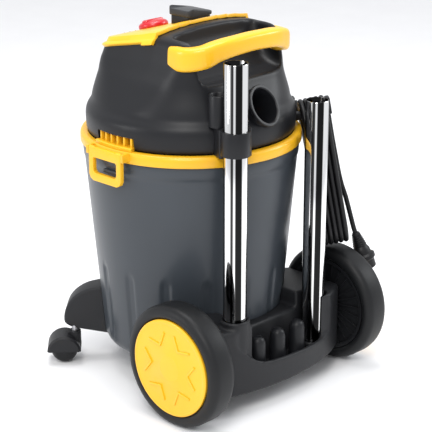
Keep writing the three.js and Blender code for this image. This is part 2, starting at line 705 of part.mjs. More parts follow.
function tyre(side) {
  const [r, low, top] = [wheel.radius, wheelInnerX, wheel.outerX];
  const inner = r - wheel.tyreDepth;
  return onAxle(turned([
    [inner, low], [r - 5, low], [r, low + 5], [r, top - 7], [r - 7, top], [inner, top], [inner, low],
  ], 24), side);
}

function rim(side) {
  const r = wheel.radius - wheel.tyreDepth - gap;
  const [low, top] = [wheelInnerX + 3, wheel.outerX - 4];
  const web = low + 17;
  const bowl = turned([
    [axle.radius + gap, low - 1], [17, low - 1], [17, web], [r - 4, web], [r - 4, low], [r, low], [r, top],
    [r - 4, top], [r - 4, web + 4], [17, web + 4], [17, top - 8], [axle.radius + gap, top - 8],
    [axle.radius + gap, low - 1],
  ], 24);
  const ribs = Array.from({ length: 6 }, (_, k) =>
    box([16, -1.2, low + 3], [r - 5, 1.2, web + 1]).rotate([0, 0, 60 * k]));
  return onAxle(join(bowl, ...ribs), side);
}

function hubCover(side) {
  const [r, low] = [coverR, wheel.outerX - 4 + gap];
  const face = wheel.outerX + 0.6;
  const dish = turned([[0, low], [r, low], [r, face - 1.5], [r - 3, face], [0, face]], 24);
  const vOutline = [[-15, 12], [-13, 14.5], [0, 3.4], [13, 14.5], [15, 12], [0, 0]];
  const chevron = slab(vOutline, face - 1, face + wheel.coverProud - 1);
  const marks = Array.from({ length: 6 }, (_, k) => chevron.translate([0, 33, 0]).rotate([0, 0, 60 * k]));
  return onAxle(join(dish, ...marks), side);
}

// ---- front arms and casters -----------------------------------------------------------------------------
function frontArm() {
  const outline = [
    [120, arm.bottomZ - 4], [182, arm.bottomZ + 6], [arm.reach - 8, arm.bottomZ + 10],
    [arm.reach, arm.bottomZ + 17],
    [arm.reach - 1, arm.bottomZ + 26], [arm.reach - 5, arm.bottomZ + 42], [arm.reach - 15, arm.topZ - 22],
    [arm.reach - 36, arm.topZ - 7], [arm.reach - 57, arm.topZ], [120, arm.topZ],
  ];
  const flat = slab(outline, -arm.width / 2, arm.width / 2);
  const standing = flat.rotate([90, 0, 0]).rotate([0, 0, 90 + arm.angle]);
  const stemBore = rod(caster.stemR + gap, [-caster.stemX, caster.stemY, 40], [0, 0, 1], 44, 12);
  return cut(standing, tankForm(gap), stemBore);
}

const casterOut = () => {
  const length = Math.hypot(caster.stemX, caster.stemY);
  return [-caster.stemX / length, caster.stemY / length];
};
const ballCentre = () => {
  const out = casterOut();
  return [-caster.stemX + out[0] * caster.trail, caster.stemY + out[1] * caster.trail, caster.ballR];
};
// The caster's wheel axle is level and square to its trail.
const casterAxis = () => [-casterOut()[1], casterOut()[0], 0];

const aroundBall = (solid) => aimed(solid, ballCentre(), casterAxis());

function casterBall() {
  const [r, half] = [caster.ballR, caster.ballWidth / 2];
  return aroundBall(turned([
    [2.4, -half], [r - 9, -half], [r - 3.4, -half + 5], [r - 0.6, -half + 11], [r, -4], [r, 4],
    [r - 0.6, half - 11], [r - 3.4, half - 5], [r - 9, half], [2.4, half], [2.4, -half],
  ], 14));
}

function casterHood() {
  const [r, half, wall] = [caster.ballR + 2.2, caster.ballWidth / 2 + 1.2, caster.hoodWall];
  const shell = aroundBall(disc(r + wall, -half - wall, half + wall, 20));
  const inside = aroundBall(disc(r, -half, half, 20));
  const [bx, by] = ballCentre();
  const below = box([bx - 60, by - 60, -20], [bx + 60, by + 60, caster.ballR - 4]);
  const boss = disc(caster.stemR + 5, caster.ballR + 2, arm.bottomZ + 1.5, 20)
    .translate([-caster.stemX, caster.stemY, 0]);
  const stemBore = disc(caster.stemR + gap, 2 * caster.ballR + 1.5, 90, 12)
    .translate([-caster.stemX, caster.stemY, 0]);
  return cut(join(shell, boss), inside, below, stemBore, aroundBall(disc(2.4, -60, 60, 8)));
}

const casterStem = () =>
  disc(caster.stemR, 2 * caster.ballR + 1.8, 80, 12).translate([-caster.stemX, caster.stemY, 0]);

const casterPin = () => {
  const half = caster.ballWidth / 2 + caster.hoodWall + 1;
  return aroundBall(disc(2.1, -half, half, 8));
};

// ---- mains cord, its hank and plug ----------------------------------------------------------------------
const hankTop = [141.4, -127.3, 388.2];
const hankAlong = [0.669, 0.743, 0];
const hankOut = [0.73, -0.658, 0.184];
const hankUp = [-0.1367, 0.1231, 0.983];
const hankWidth = cord.turnsAcross * 2 * (cord.radius + 0.05);
const hankOuterR = cord.innerR - 0.5 + cord.layers * 2 * cord.radius + 1;

// Moves a solid from the hank's frame (along, out, up, about its top bend) to where it hangs.
const inHankFrame = (solid) => solid.transform(
  new THREE.Matrix4().makeBasis(
    new THREE.Vector3(...hankAlong).normalize(), new THREE.Vector3(...hankOut).normalize(),
    new THREE.Vector3(...hankUp).normalize(),
  ).setPosition(...hankTop).elements,
);

function racetrack(radius, run) {
  const shape = new THREE.Shape();
  shape.absarc(0, 0, radius, 0, Math.PI);
  shape.absarc(0, -run, radius, Math.PI, Math.PI * 2);
  return shape;
}

function cordHank() {
  const hole = racetrack(cord.innerR - 0.5, cord.run);
  const flat = slab(racetrack(hankOuterR, cord.run), -hankWidth / 2, hankWidth / 2, [hole], 7);
  return inHankFrame(flat.rotate([90, 0, 0]));
}

const glandStart = [152.3, -38, 416];
const glandEnd = [163.5, -66.2, 405.8];
const leadPoints = [
  glandEnd, [164.6, -73.5, 400.5], [163, -79.5, 394], [160.8, -82.6, 388], [160.9, -84.4, 377.4],
  [162, -85.4, 369.6]];

const inHank = ([along, out, up]) =>
  hankTop.map((v, k) => v + along * hankAlong[k] + out * hankOut[k] + up * hankUp[k]);
const tailRoute = [
  [30, 25, -20], [30, 25, -45], [29, 25.3, -70], [27, 25.6, -95], [25, 27, -118], [23, 30, -138],
];
const plugStart = [208, -159.6, 200];
const plugAxis = [0.198, -0.272, -0.94];
const tailPoints = [...tailRoute.map(inHank), [206, -156.9, 209.4], plugStart];

const between = (from, to) => to.map((value, k) => value - from[k]);
const span = (from, to) => Math.hypot(...between(from, to));

function strainRelief() {
  const length = span(glandStart, glandEnd) - 2;
  const boot = turned([[0, -6], [12, -6], [12, 0], [9, 2], [8, 6], [6.4, length], [0, length]], 12);
  return cut(aimed(boot, glandStart, between(glandStart, glandEnd)), headForm(gap));
}

const cordTube = (points) => swept(roundSection(cord.radius, 8), points, points.length * 2);

function mainsPlug() {
  const { flangeR: f, bodyR: b, reliefR: r, length } = plug;
  const body = turned([
    [0, gap * 2], [r, gap * 2], [r + 1.5, 20], [b - 4, 24], [b - 1, 36], [f - 1, 39], [f, 41], [f, 46],
    [f - 1, 48],
    [b, 50], [b - 0.5, length], [0, length],
  ], 12);
  const pins = [-1, 1].map((s) =>
    disc(plug.pinR, length - 1, length + plug.pinLength, 8).translate([(s * plug.pinSpacing) / 2, 0, 0]));
  return aimed(join(body, ...pins), plugStart, plugAxis);
}

// ---- the assembly -----------------------------------------------------------------------------------------
const vacuum = new THREE.Group();

function add(name, solid, look) {
  const mesh = new THREE.Mesh(geometryOf(solid), new THREE.MeshStandardMaterial(look));
  mesh.name = name;
  vacuum.add(mesh);
}

// A piece of the left side and its mirror image on the right.
function addPair(name, solid, look) {
  add(`${name}_left`, solid, look);
  add(`${name}_right`, mirrored(solid), look);
}

add("tank", tankShell(), tankGrey);
add("hose_inlet", hoseInlet(), headBlack);
add("inlet_deflector", inletDeflector(), headBlack);
add("rear_base", rearBase(), baseGrey);
add("accessory_peg_left", accessoryPeg(-1), baseGrey);
add("accessory_peg_middle", accessoryPeg(0), baseGrey);
add("accessory_peg_right", accessoryPeg(1), baseGrey);
const axleEnd = wheel.outerX - 12;
add("axle", rod(axle.radius, [-axleEnd, axle.y, axleZ], [1, 0, 0], axleEnd * 2, 16), steel);
add("wand_tube_left", wandTube(-wand.x, tray.leftSeatZ), chrome);
add("wand_tube_right", wandTube(wand.x, tray.rightSeatZ), chrome);

addPair("front_arm", frontArm(), baseGrey);
addPair("caster_hood", casterHood(), baseGrey);
addPair("caster_stem", casterStem(), steel);
addPair("caster_ball", casterBall(), baseGrey);
addPair("caster_pin", casterPin(), steel);
for (const [name, side] of [["left", -1], ["right", 1]]) {
  add(`tyre_${name}`, tyre(side), rubber);
  add(`wheel_rim_${name}`, rim(side), baseGrey);
  add(`hub_cover_${name}`, hubCover(side), yellow);
}

const sealLow = tank.topZ + gap;
add("tank_seal", pipe(tank.topR, tank.topR - seal.width, sealLow, sealLow + seal.height, sides), rubber);
add("clamp_ring", clampRing(), yellow);
addPair("latch", latchLoop(), yellow);
addPair("latch_pin", latchPin(latch.pinR), steel);
addPair("air_grille", airGrille(), yellow);
add("head_shell", headShell(), headBlack);
add("top_deck", topDeck(), yellow);
add("handle", handleForm(0), yellow);
add("blower_port", blowerPort(), headBlack);
add("tube_clip", tubeClip(), headBlack);
add("accessory_socket", accessorySocket(), headBlack);
add("cable_hook", cableHook(), headBlack);

add("motor_base_plate", basePlate(), headBlack);
add("fan_housing", fanHousing(), steel);
add("impeller", impeller(), steel);
add("motor_frame", motorFrame(), steel);
add("armature", armature(), copper);
add("filter_cage", filterCage(), headBlack);
add("filter_cartridge", filterCartridge(), paper);
add("filter_cap", filterCapDisc(), headBlack);
add("float_ball", floatShape(), white);

add("rotary_switch", rotarySwitch(), headBlack);
add("switch_knob", rotaryKnob(), red);
add("outlet_body", outletBody(), headBlack);
add("outlet_lid", outletLid(), paleGrey);

add("strain_relief", strainRelief(), cordBlack);
add("cord_lead", cordTube(leadPoints), cordBlack);
add("cord_hank", cordHank(), cordBlack);
add("cord_tail", cordTube(tailPoints), cordBlack);
add("mains_plug", mainsPlug(), cordBlack);

// The origin is on the floor under the middle of the vacuum, measured without the cord.
const onCord = new Set(["strain_relief", "cord_lead", "cord_hank", "cord_tail", "mains_plug"]);
const extent = new THREE.Box3();
for (const piece of vacuum.children) if (!onCord.has(piece.name)) extent.expandByObject(piece);
vacuum.position.y = -(extent.min.y + extent.max.y) / 2;

export default vacuum;
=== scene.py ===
from math import atan2, cos, hypot, pi, radians, sin, sqrt

import bmesh
import bpy
from mathutils import Matrix, Vector


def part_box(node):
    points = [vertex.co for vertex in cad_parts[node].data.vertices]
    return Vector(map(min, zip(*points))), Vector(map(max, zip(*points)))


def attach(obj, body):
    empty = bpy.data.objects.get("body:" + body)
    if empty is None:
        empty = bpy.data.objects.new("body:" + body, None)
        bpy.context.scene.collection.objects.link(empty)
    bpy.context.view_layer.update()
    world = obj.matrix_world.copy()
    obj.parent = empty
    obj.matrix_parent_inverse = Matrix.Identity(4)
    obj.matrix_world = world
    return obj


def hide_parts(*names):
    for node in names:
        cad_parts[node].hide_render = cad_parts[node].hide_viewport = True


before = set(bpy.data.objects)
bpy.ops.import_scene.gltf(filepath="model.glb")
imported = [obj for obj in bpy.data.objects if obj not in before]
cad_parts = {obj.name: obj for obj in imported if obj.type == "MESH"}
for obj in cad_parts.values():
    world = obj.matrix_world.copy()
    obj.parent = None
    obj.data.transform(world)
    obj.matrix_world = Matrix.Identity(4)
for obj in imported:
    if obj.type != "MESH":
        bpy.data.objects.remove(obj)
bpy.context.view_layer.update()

# Pieces are shaped in millimetres around the tank's axis, and go to the frame's metres at the end.
tankLow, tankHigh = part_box("tank")
axisY = (tankLow[1] + tankHigh[1]) / 2
toFrame = Matrix.Translation((0, axisY, 0)) @ Matrix.Scale(0.001, 4)
scene = bpy.context.scene

# Camera
view = {"azimuth": -45.72, "elevation": 19.34, "place": (-1600.9, -1614.1, 1038.2), "lens": 128.7}
cameraData = bpy.data.cameras.new("camera")
cameraData.lens = view["lens"]
cameraData.sensor_width = 36
camera = bpy.data.objects.new("camera", cameraData)
camera.location = toFrame @ Vector(view["place"])
camera.rotation_euler = (radians(90 - view["elevation"]), 0, radians(view["azimuth"]))
scene.collection.objects.link(camera)
scene.camera = camera


# Materials. An input takes a plain value, or the output of another node.
def feed(material, node, inputs):
    for name, value in inputs.items():
        if isinstance(value, bpy.types.NodeSocket):
            material.node_tree.links.new(value, node.inputs[name])
        else:
            node.inputs[name].default_value = value
    return node


def addNode(material, kind, inputs):
    return feed(material, material.node_tree.nodes.new("ShaderNode" + kind), inputs)


def newMaterial(name, base, roughness, metallic=0.0, coat=0.0, specular=0.5):
    material = bpy.data.materials.new(name)
    material.use_nodes = True
    shader = material.node_tree.nodes["Principled BSDF"]
    feed(material, shader, {"Base Color": (*base, 1), "Roughness": roughness, "Metallic": metallic,
                            "Coat Weight": coat, "Coat Roughness": 0.15, "Specular IOR Level": specular})
    return material, shader


# Fine noise for the bump, and broad noise that moves the colour and the gloss a little.
def moulded(name, base, roughness, grain=1400, bump=0.12, drift=0.12, coat=0.0, specular=0.5, metallic=0.0):
    material, shader = newMaterial(name, base, roughness, metallic, coat, specular)
    spot = addNode(material, "TexCoord", {}).outputs["Object"]
    broad = addNode(material, "TexNoise", {"Vector": spot, "Scale": 9, "Detail": 4}).outputs["Fac"]
    colour = addNode(material, "ValToRGB", {"Fac": broad})
    for stop, place, share in zip(colour.color_ramp.elements, (0.3, 0.7), (1 - drift, 1 + drift)):
        stop.position = place
        stop.color = (*[min(1, c * share) for c in base], 1)
    gloss = addNode(material, "MapRange", {"Value": broad, "To Min": roughness * 0.88,
                                           "To Max": min(1, roughness * 1.14)})
    fine = addNode(material, "TexNoise", {"Vector": spot, "Scale": grain, "Detail": 3})
    relief = addNode(material, "Bump", {"Height": fine.outputs["Fac"], "Strength": bump,
                                        "Distance": 0.0004})
    feed(material, shader, {"Base Color": colour.outputs["Color"], "Roughness": gloss.outputs["Result"],
                            "Normal": relief.outputs["Normal"]})
    return material


# Polished chrome with painted reflections: long soft light and dark bands painted into the base colour down
# the tube, turned to the camera's azimuth. Each band is a share of the way round and a brightness.
def chromeWithPaintedReflections(name, centreX, centreY, reflectionBands, darkReflection=0.015):
    material, shader = newMaterial(name, (0.9, 0.9, 0.9), 0.06, 1.0)
    spot = addNode(material, "TexCoord", {}).outputs["Object"]
    centred = addNode(material, "Mapping", {"Vector": spot, "Location": (-centreX, -centreY, 0)})
    turn = addNode(material, "Mapping", {"Vector": centred.outputs["Vector"],
                                         "Rotation": (0, 0, radians(90 - view["azimuth"]))})
    split = addNode(material, "SeparateXYZ", {"Vector": turn.outputs["Vector"]})
    angle = addNode(material, "Math", {0: split.outputs["Y"], 1: split.outputs["X"]})
    angle.operation = "ARCTAN2"
    share = addNode(material, "MapRange", {"Value": angle.outputs["Value"], "From Min": -pi, "From Max": pi})
    # This ramp paints the reflections: bright and dark bands of base colour round the tube.
    ramp = addNode(material, "ValToRGB", {"Fac": share.outputs["Result"]})
    ramp.color_ramp.interpolation = "EASE"
    stops = ramp.color_ramp.elements
    for stop in stops:
        stop.color = (darkReflection, darkReflection, darkReflection, 1)
    for position, value in reflectionBands:
        stop = stops.new(position)
        stop.color = (value, value, value, 1)
    smudge = addNode(material, "TexNoise", {"Vector": spot, "Scale": 60})
    gloss = addNode(material, "MapRange", {"Value": smudge.outputs["Fac"], "To Min": 0.04, "To Max": 0.10})
    feed(material, shader, {"Base Color": ramp.outputs["Color"], "Roughness": gloss.outputs["Result"]})
    return material


tankGrey = moulded("tankGrey", (0.040, 0.047, 0.056), 0.36, grain=900, bump=0.06, drift=0.06, coat=0.1,
                   specular=0.3)
headBlack = moulded("headBlack", (0.0085, 0.009, 0.011), 0.40, grain=1800, bump=0.10, drift=0.08,
                    specular=0.28)
yellowPlastic = moulded("yellowPlastic", (0.86, 0.46, 0.014), 0.34, grain=1500, bump=0.05, drift=0.04,
                        coat=0.15, specular=0.4)
ringYellow = moulded("ringYellow", (0.80, 0.42, 0.012), 0.34, grain=1500, bump=0.05, drift=0.04,
                     coat=0.15, specular=0.4)
baseGrey = moulded("baseGrey", (0.0125, 0.013, 0.015), 0.48, grain=2400, bump=0.30, drift=0.10,
                   specular=0.3)
wheelBlack = moulded("wheelBlack", (0.009, 0.0095, 0.011), 0.46, grain=2000, bump=0.2, drift=0.1,
                     specular=0.3)
tyreRubber = moulded("tyreRubber", (0.0065, 0.007, 0.008), 0.46, grain=1500, bump=0.22, drift=0.15,
                     specular=0.28)
knobRed = moulded("knobRed", (0.50, 0.004, 0.014), 0.32, grain=1500, bump=0.05, drift=0.05, coat=0.3)
lidGrey = moulded("lidGrey", (0.028, 0.029, 0.032), 0.38, grain=1500, bump=0.08, drift=0.05, specular=0.35)
cordRubber = moulded("cordRubber", (0.0055, 0.0055, 0.0065), 0.42, grain=1200, bump=0.15, drift=0.15,
                     specular=0.3)
sealRubber = moulded("sealRubber", (0.02, 0.02, 0.02), 0.6, grain=1500, bump=0.2)
plainSteel = moulded("plainSteel", (0.45, 0.45, 0.47), 0.32, grain=700, bump=0.08, drift=0.08, metallic=1.0)
motorMetal = moulded("motorMetal", (0.42, 0.42, 0.44), 0.40, grain=500, bump=0.1, drift=0.1, metallic=1.0)
windings = moulded("windings", (0.42, 0.16, 0.06), 0.38, grain=900, bump=0.3, drift=0.15, metallic=0.9)
filterPaper = moulded("filterPaper", (0.74, 0.70, 0.58), 0.9, grain=600, bump=0.35, drift=0.08)
floatWhite = moulded("floatWhite", (0.78, 0.78, 0.75), 0.4, grain=900, bump=0.05, drift=0.04)


# Shaping tools
def newObject(name, mesh):
    thing = bpy.data.objects.new(name, mesh)
    scene.collection.objects.link(thing)
    return thing


def tidied(bm, distance=0.01):
    bmesh.ops.remove_doubles(bm, verts=bm.verts, dist=distance)
    bmesh.ops.recalc_face_normals(bm, faces=bm.faces)
    return bm


def scratch(bm):
    mesh = bpy.data.meshes.new("scratch")
    tidied(bm).to_mesh(mesh)
    bm.free()
    return newObject("scratch", mesh)


def evaluated(thing):
    bpy.context.view_layer.update()
    graph = bpy.context.evaluated_depsgraph_get()
    mesh = bpy.data.meshes.new_from_object(thing.evaluated_get(graph))
    bm = bmesh.new()
    bm.from_mesh(mesh)
    bpy.data.meshes.remove(mesh)
    bpy.data.objects.remove(thing)
    return bm


def carved(bm, *cutters, operation="DIFFERENCE"):
    thing = scratch(bm)
    tools = [scratch(cutter) for cutter in cutters]
    for tool in tools:
        modifier = thing.modifiers.new("carve", "BOOLEAN")
        modifier.operation = operation
        modifier.solver = "EXACT"
        modifier.object = tool
    shape = evaluated(thing)
    for tool in tools:
        bpy.data.objects.remove(tool)
    return shape


# One skin over overlapping shapes, with its edges worn round.
def softened(bm, voxel, rounds=3):
    thing = scratch(bm)
    modifier = thing.modifiers.new("skin", "REMESH")
    modifier.mode = "VOXEL"
    modifier.voxel_size = voxel
    shape = evaluated(thing)
    for _ in range(rounds):
        bmesh.ops.smooth_vert(shape, verts=shape.verts, factor=0.5, use_axis_x=True, use_axis_y=True,
                              use_axis_z=True)
    return shape


# Drops what lies on one side of a plane: above it, or else below.
def sliced(bm, place, normal, above=False):
    parts = bm.verts[:] + bm.edges[:] + bm.faces[:]
    return bmesh.ops.bisect_plane(bm, geom=parts, plane_co=place, plane_no=normal, clear_outer=above,
                                  clear_inner=not above)


def withEdges(bm, width, segments=2, angle=32):
    thing = scratch(bm)
    modifier = thing.modifiers.new("edges", "BEVEL")
    modifier.width = width
    modifier.segments = segments
    modifier.limit_method = "ANGLE"
    modifier.angle_limit = radians(angle)
    return evaluated(thing)


def thickened(bm, thickness):
    thing = scratch(bm)
    modifier = thing.modifiers.new("wall", "SOLIDIFY")
    modifier.thickness = thickness
    modifier.offset = -1
    modifier.use_even_offset = True
    return evaluated(thing)


def together(*parts):
    whole = bmesh.new()
    for part in parts:
        mesh = bpy.data.meshes.new("part")
        part.to_mesh(mesh)
        part.free()
        whole.from_mesh(mesh)
        bpy.data.meshes.remove(mesh)
    return whole


def moved(bm, matrix):
    bmesh.ops.transform(bm, matrix=matrix, verts=bm.verts)
    return bm


def turnedBy(degrees):
    return Matrix.Rotation(radians(degrees), 4, "Z")


def shifted(bm, x, y, z):
    return moved(bm, Matrix.Translation((x, y, z)))


def mirrored(bm):
    moved(bm, Matrix.Diagonal((-1, 1, 1, 1)))
    bmesh.ops.reverse_faces(bm, faces=bm.faces)
    return bm


def lathe(profile, steps=72):
    bm = bmesh.new()
    verts = [bm.verts.new((r, 0, z)) for r, z in profile]
    edges = [bm.edges.new(pair) for pair in zip(verts, verts[1:])]
    bmesh.ops.spin(bm, geom=verts + edges, cent=(0, 0, 0), axis=(0, 0, 1), angle=2 * pi, steps=steps,
                   use_merge=True)
    return tidied(bm, 0.001)


def tube(outer, inner, low, high, steps=48):
    return lathe([(inner, low), (outer, low), (outer, high), (inner, high), (inner, low)], steps)


def disc(radius, low, high, steps=48):
    return lathe([(0, low), (radius, low), (radius, high), (0, high)], steps)


def prism(outline, low, high):
    bm = bmesh.new()
    face = bm.faces.new([bm.verts.new((x, y, low)) for x, y in outline])
    raised = bmesh.ops.extrude_face_region(bm, geom=[face])["geom"]
    verts = [v for v in raised if isinstance(v, bmesh.types.BMVert)]
    bmesh.ops.translate(bm, vec=(0, 0, high - low), verts=verts)
    bmesh.ops.recalc_face_normals(bm, faces=bm.faces)
    return bm


def block(low, high, corner=0.0, edge=0.0, segments=4):
    bm = bmesh.new()
    bmesh.ops.create_cube(bm, size=1)
    size = [b - a for a, b in zip(low, high)]
    middle = [(a + b) / 2 for a, b in zip(low, high)]
    moved(bm, Matrix.Translation(middle) @ Matrix.Diagonal((*size, 1)))
    if corner:
        upright = [e for e in bm.edges if abs(e.verts[0].co.z - e.verts[1].co.z) > 0.5 * size[2]]
        bmesh.ops.bevel(bm, geom=upright, offset=corner, segments=segments, affect="EDGES", profile=0.5,
                        material=-1)
    if edge:
        rims = [e for e in bm.edges if abs(e.verts[0].co.z - e.verts[1].co.z) < 1e-4]
        rims = [e for e in rims if len(e.link_faces) == 2 and e.calc_face_angle(0) > 0.6]
        bmesh.ops.bevel(bm, geom=rims, offset=edge, segments=2, affect="EDGES", profile=0.5, material=-1)
    return bm


# Turns a shape made along +Z so that it starts at a point and runs along a direction.
def aimed(bm, start, direction):
    turn = Vector((0, 0, 1)).rotation_difference(Vector(direction).normalized()).to_matrix().to_4x4()
    return moved(bm, Matrix.Translation(start) @ turn)


# Stands a prism up, so that its outline is (y, z) and its depth runs along X.
def alongX(bm):
    return moved(bm, Matrix(((0, 0, 1, 0), (1, 0, 0, 0), (0, 1, 0, 0), (0, 0, 0, 1))))


# Stands a prism up, so that its outline is (x, z) and its depth runs along -Y.
def alongY(bm):
    return moved(bm, Matrix(((1, 0, 0, 0), (0, 0, -1, 0), (0, 1, 0, 0), (0, 0, 0, 1))))


# A smooth curve's points through a few, for profiles and routes.
def smoothPoints(points, per=6):
    points = [Vector(p) for p in points]
    out = []
    for k in range(len(points) - 1):
        a = points[k - 1] if k else points[0] * 2 - points[1]
        b, c = points[k], points[k + 1]
        d = points[k + 2] if k + 2 < len(points) else c * 2 - b
        for step in range(per):
            t = step / per
            out.append(0.5 * ((2 * b) + (c - a) * t + (2 * a - 5 * b + 4 * c - d) * t * t
                              + (3 * b - a - 3 * c + d) * t ** 3))
    return out + [points[-1]]


# The same for flat outlines.
def curveThrough(knots):
    return [(p.x, p.y) for p in smoothPoints([(*k, 0) for k in knots], 3)]


# A closed section carried from station to station: (centre, along, half height, half width) each.
def swept(stations, sides=20, square=0.55):
    bm = bmesh.new()
    bmesh.ops.create_circle(bm, cap_ends=True, segments=sides, radius=1)
    unit = [v.co.copy() for v in bm.verts]

    def settle(verts, station):
        centre, along, halfUp, halfAcross = station
        along = Vector(along).normalized()
        across = along.cross(Vector((0, 0, 1))).normalized()
        up = across.cross(along)
        for vert, spot in zip(verts, unit):
            a = abs(spot.x) ** square * (1 if spot.x > 0 else -1)
            b = abs(spot.y) ** square * (1 if spot.y > 0 else -1)
            vert.co = Vector(centre) + up * (b * halfUp) + across * (a * halfAcross)

    bm.verts.ensure_lookup_table()
    ring = list(bm.verts)
    settle(ring, stations[0])
    face = bm.faces[:][0]
    for station in stations[1:]:
        grown = bmesh.ops.extrude_face_region(bm, geom=[face])["geom"]
        newFace = [g for g in grown if isinstance(g, bmesh.types.BMFace)][0]
        face, fresh = newFace, list(newFace.verts)
        ring = [min(fresh, key=lambda v: (v.co - old.co).length) for old in ring]
        settle(ring, station)
    return bm


def finished(name, bm, body, material, nodes=(), angle=34, weld=0.01):
    tidied(bm, weld)
    moved(bm, toFrame)
    mesh = bpy.data.meshes.new(name)
    bm.to_mesh(mesh)
    bm.free()
    mesh.materials.append(material)
    mesh.polygons.foreach_set("use_smooth", [True] * len(mesh.polygons))
    mesh.set_sharp_from_angle(angle=radians(angle))
    piece = newObject(name, mesh)
    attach(piece, body)
    if nodes:
        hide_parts(*nodes)
    return piece


print("tools ready")

# Mains cord: a lead from the gland, the turns of a hank on its hook, and a tail to the plug
cordFacts = {"radius": 4.0, "run": 160.0, "top": (141.4, -127.3, 388.2), "along": (0.669, 0.743, 0),
             "out": (0.73, -0.658, 0.184), "up": (-0.1367, 0.1231, 0.983),
             "laps": [(36, -16.2), (28, -16.2), (28, -8.1), (36, -8.1), (36, 0), (28, 0), (28, 8.1),
                      (36, 8.1), (36, 16.2), (28, 16.2)]}  # each lap's bend and place on the hook
leadRoute = [(60.2, -20.9, 21.8), (55.5, -19.6, 16), (50, -17.6, 2), (45, -16.4, -16), (41, -16.2, -42),
             (38, -16.2, -70), (36.3, -16.2, -100), (36, -16.2, -130)]
tailRoute = [(30, 25, -20), (30, 25, -45), (29, 25.3, -70), (27, 25.6, -95), (25, 27, -118), (23, 30, -138)]
tailEnd = [(206, -156.9, 209.4), (208, -159.6, 200)]
plugAxis = (0.198, -0.272, -0.94)


def inHank(along, out, up):
    axes = [Vector(cordFacts[k]) for k in ("along", "out", "up")]
    offset = sum((axis * amount for axis, amount in zip(axes, (along, out, up))), Vector())
    return Vector(cordFacts["top"]) + offset


def blend(a, b, share):
    share = max(0.0, min(1.0, share))
    return a + (b - a) * share * share * (3 - 2 * share)


# Each lap goes under the lower bend, up the far side, over the hook and down the near side to the next lap.
def cordPoints():
    facts = cordFacts
    run, arc, straight = facts["run"], 12, 6
    points = [inHank(*p) for p in leadRoute]
    laps = facts["laps"]
    for k, (bend, out) in enumerate(laps):
        last = k == len(laps) - 1
        for step in range(arc + 1):
            a = pi * step / arc
            points.append(inHank(bend * cos(a), out, -run - bend * sin(a)))
        points += [inHank(-bend, out, -run + run * step / straight) for step in range(1, straight)]
        nextBend, nextOut = (30.0, 25.0) if last else laps[k + 1]
        for step in range(arc + 1):
            share = step / arc if last else 0
            a = pi - pi * step / arc
            radius, side = blend(bend, nextBend, share), blend(out, nextOut, share)
            points.append(inHank(radius * cos(a), side, radius * sin(a)))
        if not last:
            for step in range(1, straight):
                share = step / straight
                points.append(inHank(blend(bend, nextBend, share), blend(out, nextOut, share),
                                     -run * share))
    points += [inHank(*p) for p in tailRoute] + [Vector(p) for p in tailEnd]
    return [toFrame @ p for p in smoothPoints(points, 2)]


route = cordPoints()
measured = sum((b - a).length for a, b in zip(route, route[1:]))
print("cord length", round(measured, 3))
curve = bpy.data.curves.new("mainsCord", "CURVE")
curve.dimensions = "3D"
line = curve.splines.new("POLY")
line.points.add(len(route) - 1)
for point, spot in zip(line.points, route):
    point.co = (*spot, 1)
curve.bevel_depth = cordFacts["radius"] / 1000
curve.bevel_resolution = 3
curve.use_fill_caps = True
curve.materials.append(cordRubber)
mainsCord = newObject("mainsCord", curve)
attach(mainsCord, "head")
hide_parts("cord_lead", "cord_hank", "cord_tail")

plug = {"flange": 18.5, "body": 15.5, "neck": 6.0, "length": 62.0, "pin": 2.4, "pinLength": 19.0,
        "pinSpacing": 19.0, "ribs": 6}


def plugShape():
    f, b, n, length = plug["flange"], plug["body"], plug["neck"], plug["length"]
    profile = [(0, 0.4), (n - 0.8, 0.4), (n, 1.2)]
    for k in range(plug["ribs"]):  # the ribbed bend guard widens towards the body
        z, r = 3 + k * 3.6, n + 0.2 + k * 0.75
        profile += [(r, z), (r + 1.1, z + 0.5), (r + 1.1, z + 1.9), (r, z + 2.4)]
    profile += [(b - 4.2, 25.5), (b - 2, 30), (b - 1, 37), (f - 1.5, 38.6), (f, 40), (f, 45.5),
                (f - 1.2, 47), (b + 0.3, 48.2), (b, 50), (b - 0.4, length - 1), (b - 1.4, length),
                (0, length)]
    body = lathe(profile, 40)
    flats = [block((-30, s * 12.5 - (30 if s < 0 else 0), 26),
                   (30, s * 12.5 + (30 if s > 0 else 0), 37.5)) for s in (-1, 1)]
    body = carved(body, *flats)
    pins = []
    for s in (-1, 1):
        r, tip = plug["pin"], length + plug["pinLength"]
        pin = lathe([(0, length - 1), (r, length - 1), (r, tip - 1.6), (r - 0.9, tip - 0.3), (0, tip)], 20)
        pins.append(shifted(pin, s * plug["pinSpacing"] / 2, 0, 0))
    return body, pins


plugBody, plugPins = plugShape()
plugStart = tailEnd[-1]
plugPiece = finished("mainsPlug", aimed(plugBody, plugStart, plugAxis), "head", cordRubber,
                     ["mains_plug"])
pinPiece = finished("plugPins", aimed(together(*plugPins), plugStart, plugAxis), "head", plainSteel, ())

gland = {"start": (152.3, -38, 416), "end": (163.5, -66.2, 405.8)}
glandRun = Vector(gland["end"]) - Vector(gland["start"])
guard = [(0, -6), (12, -6), (12, 0), (11.2, 1.4), (9, 2)]
for k in range(5):
    z, r = 4 + k * 5, 8.2 - k * 0.55
    guard += [(r, z), (r + 0.7, z + 0.6), (r + 0.7, z + 2.6), (r, z + 3.2)]
guard += [(5.2, glandRun.length - 2.6), (4.6, glandRun.length - 2), (0, glandRun.length - 2)]
finished("strainRelief", aimed(lathe(guard, 32), gland["start"], glandRun), "head", cordRubber,
         ["strain_relief"])
tuple(route[0])
print("cord made")

# Tank and hose inlet
tank = {"bottomZ": 46, "topZ": 370, "bottomR": 137, "topR": 165, "wall": 3, "corner": 14, "floor": 4,
        "bandZ": 350, "flutes": 15, "firstFlute": 18, "fluteHalf": 3.4, "fluteDepth": 2.4,
        "fluteLow": 64, "fluteTop": 188}


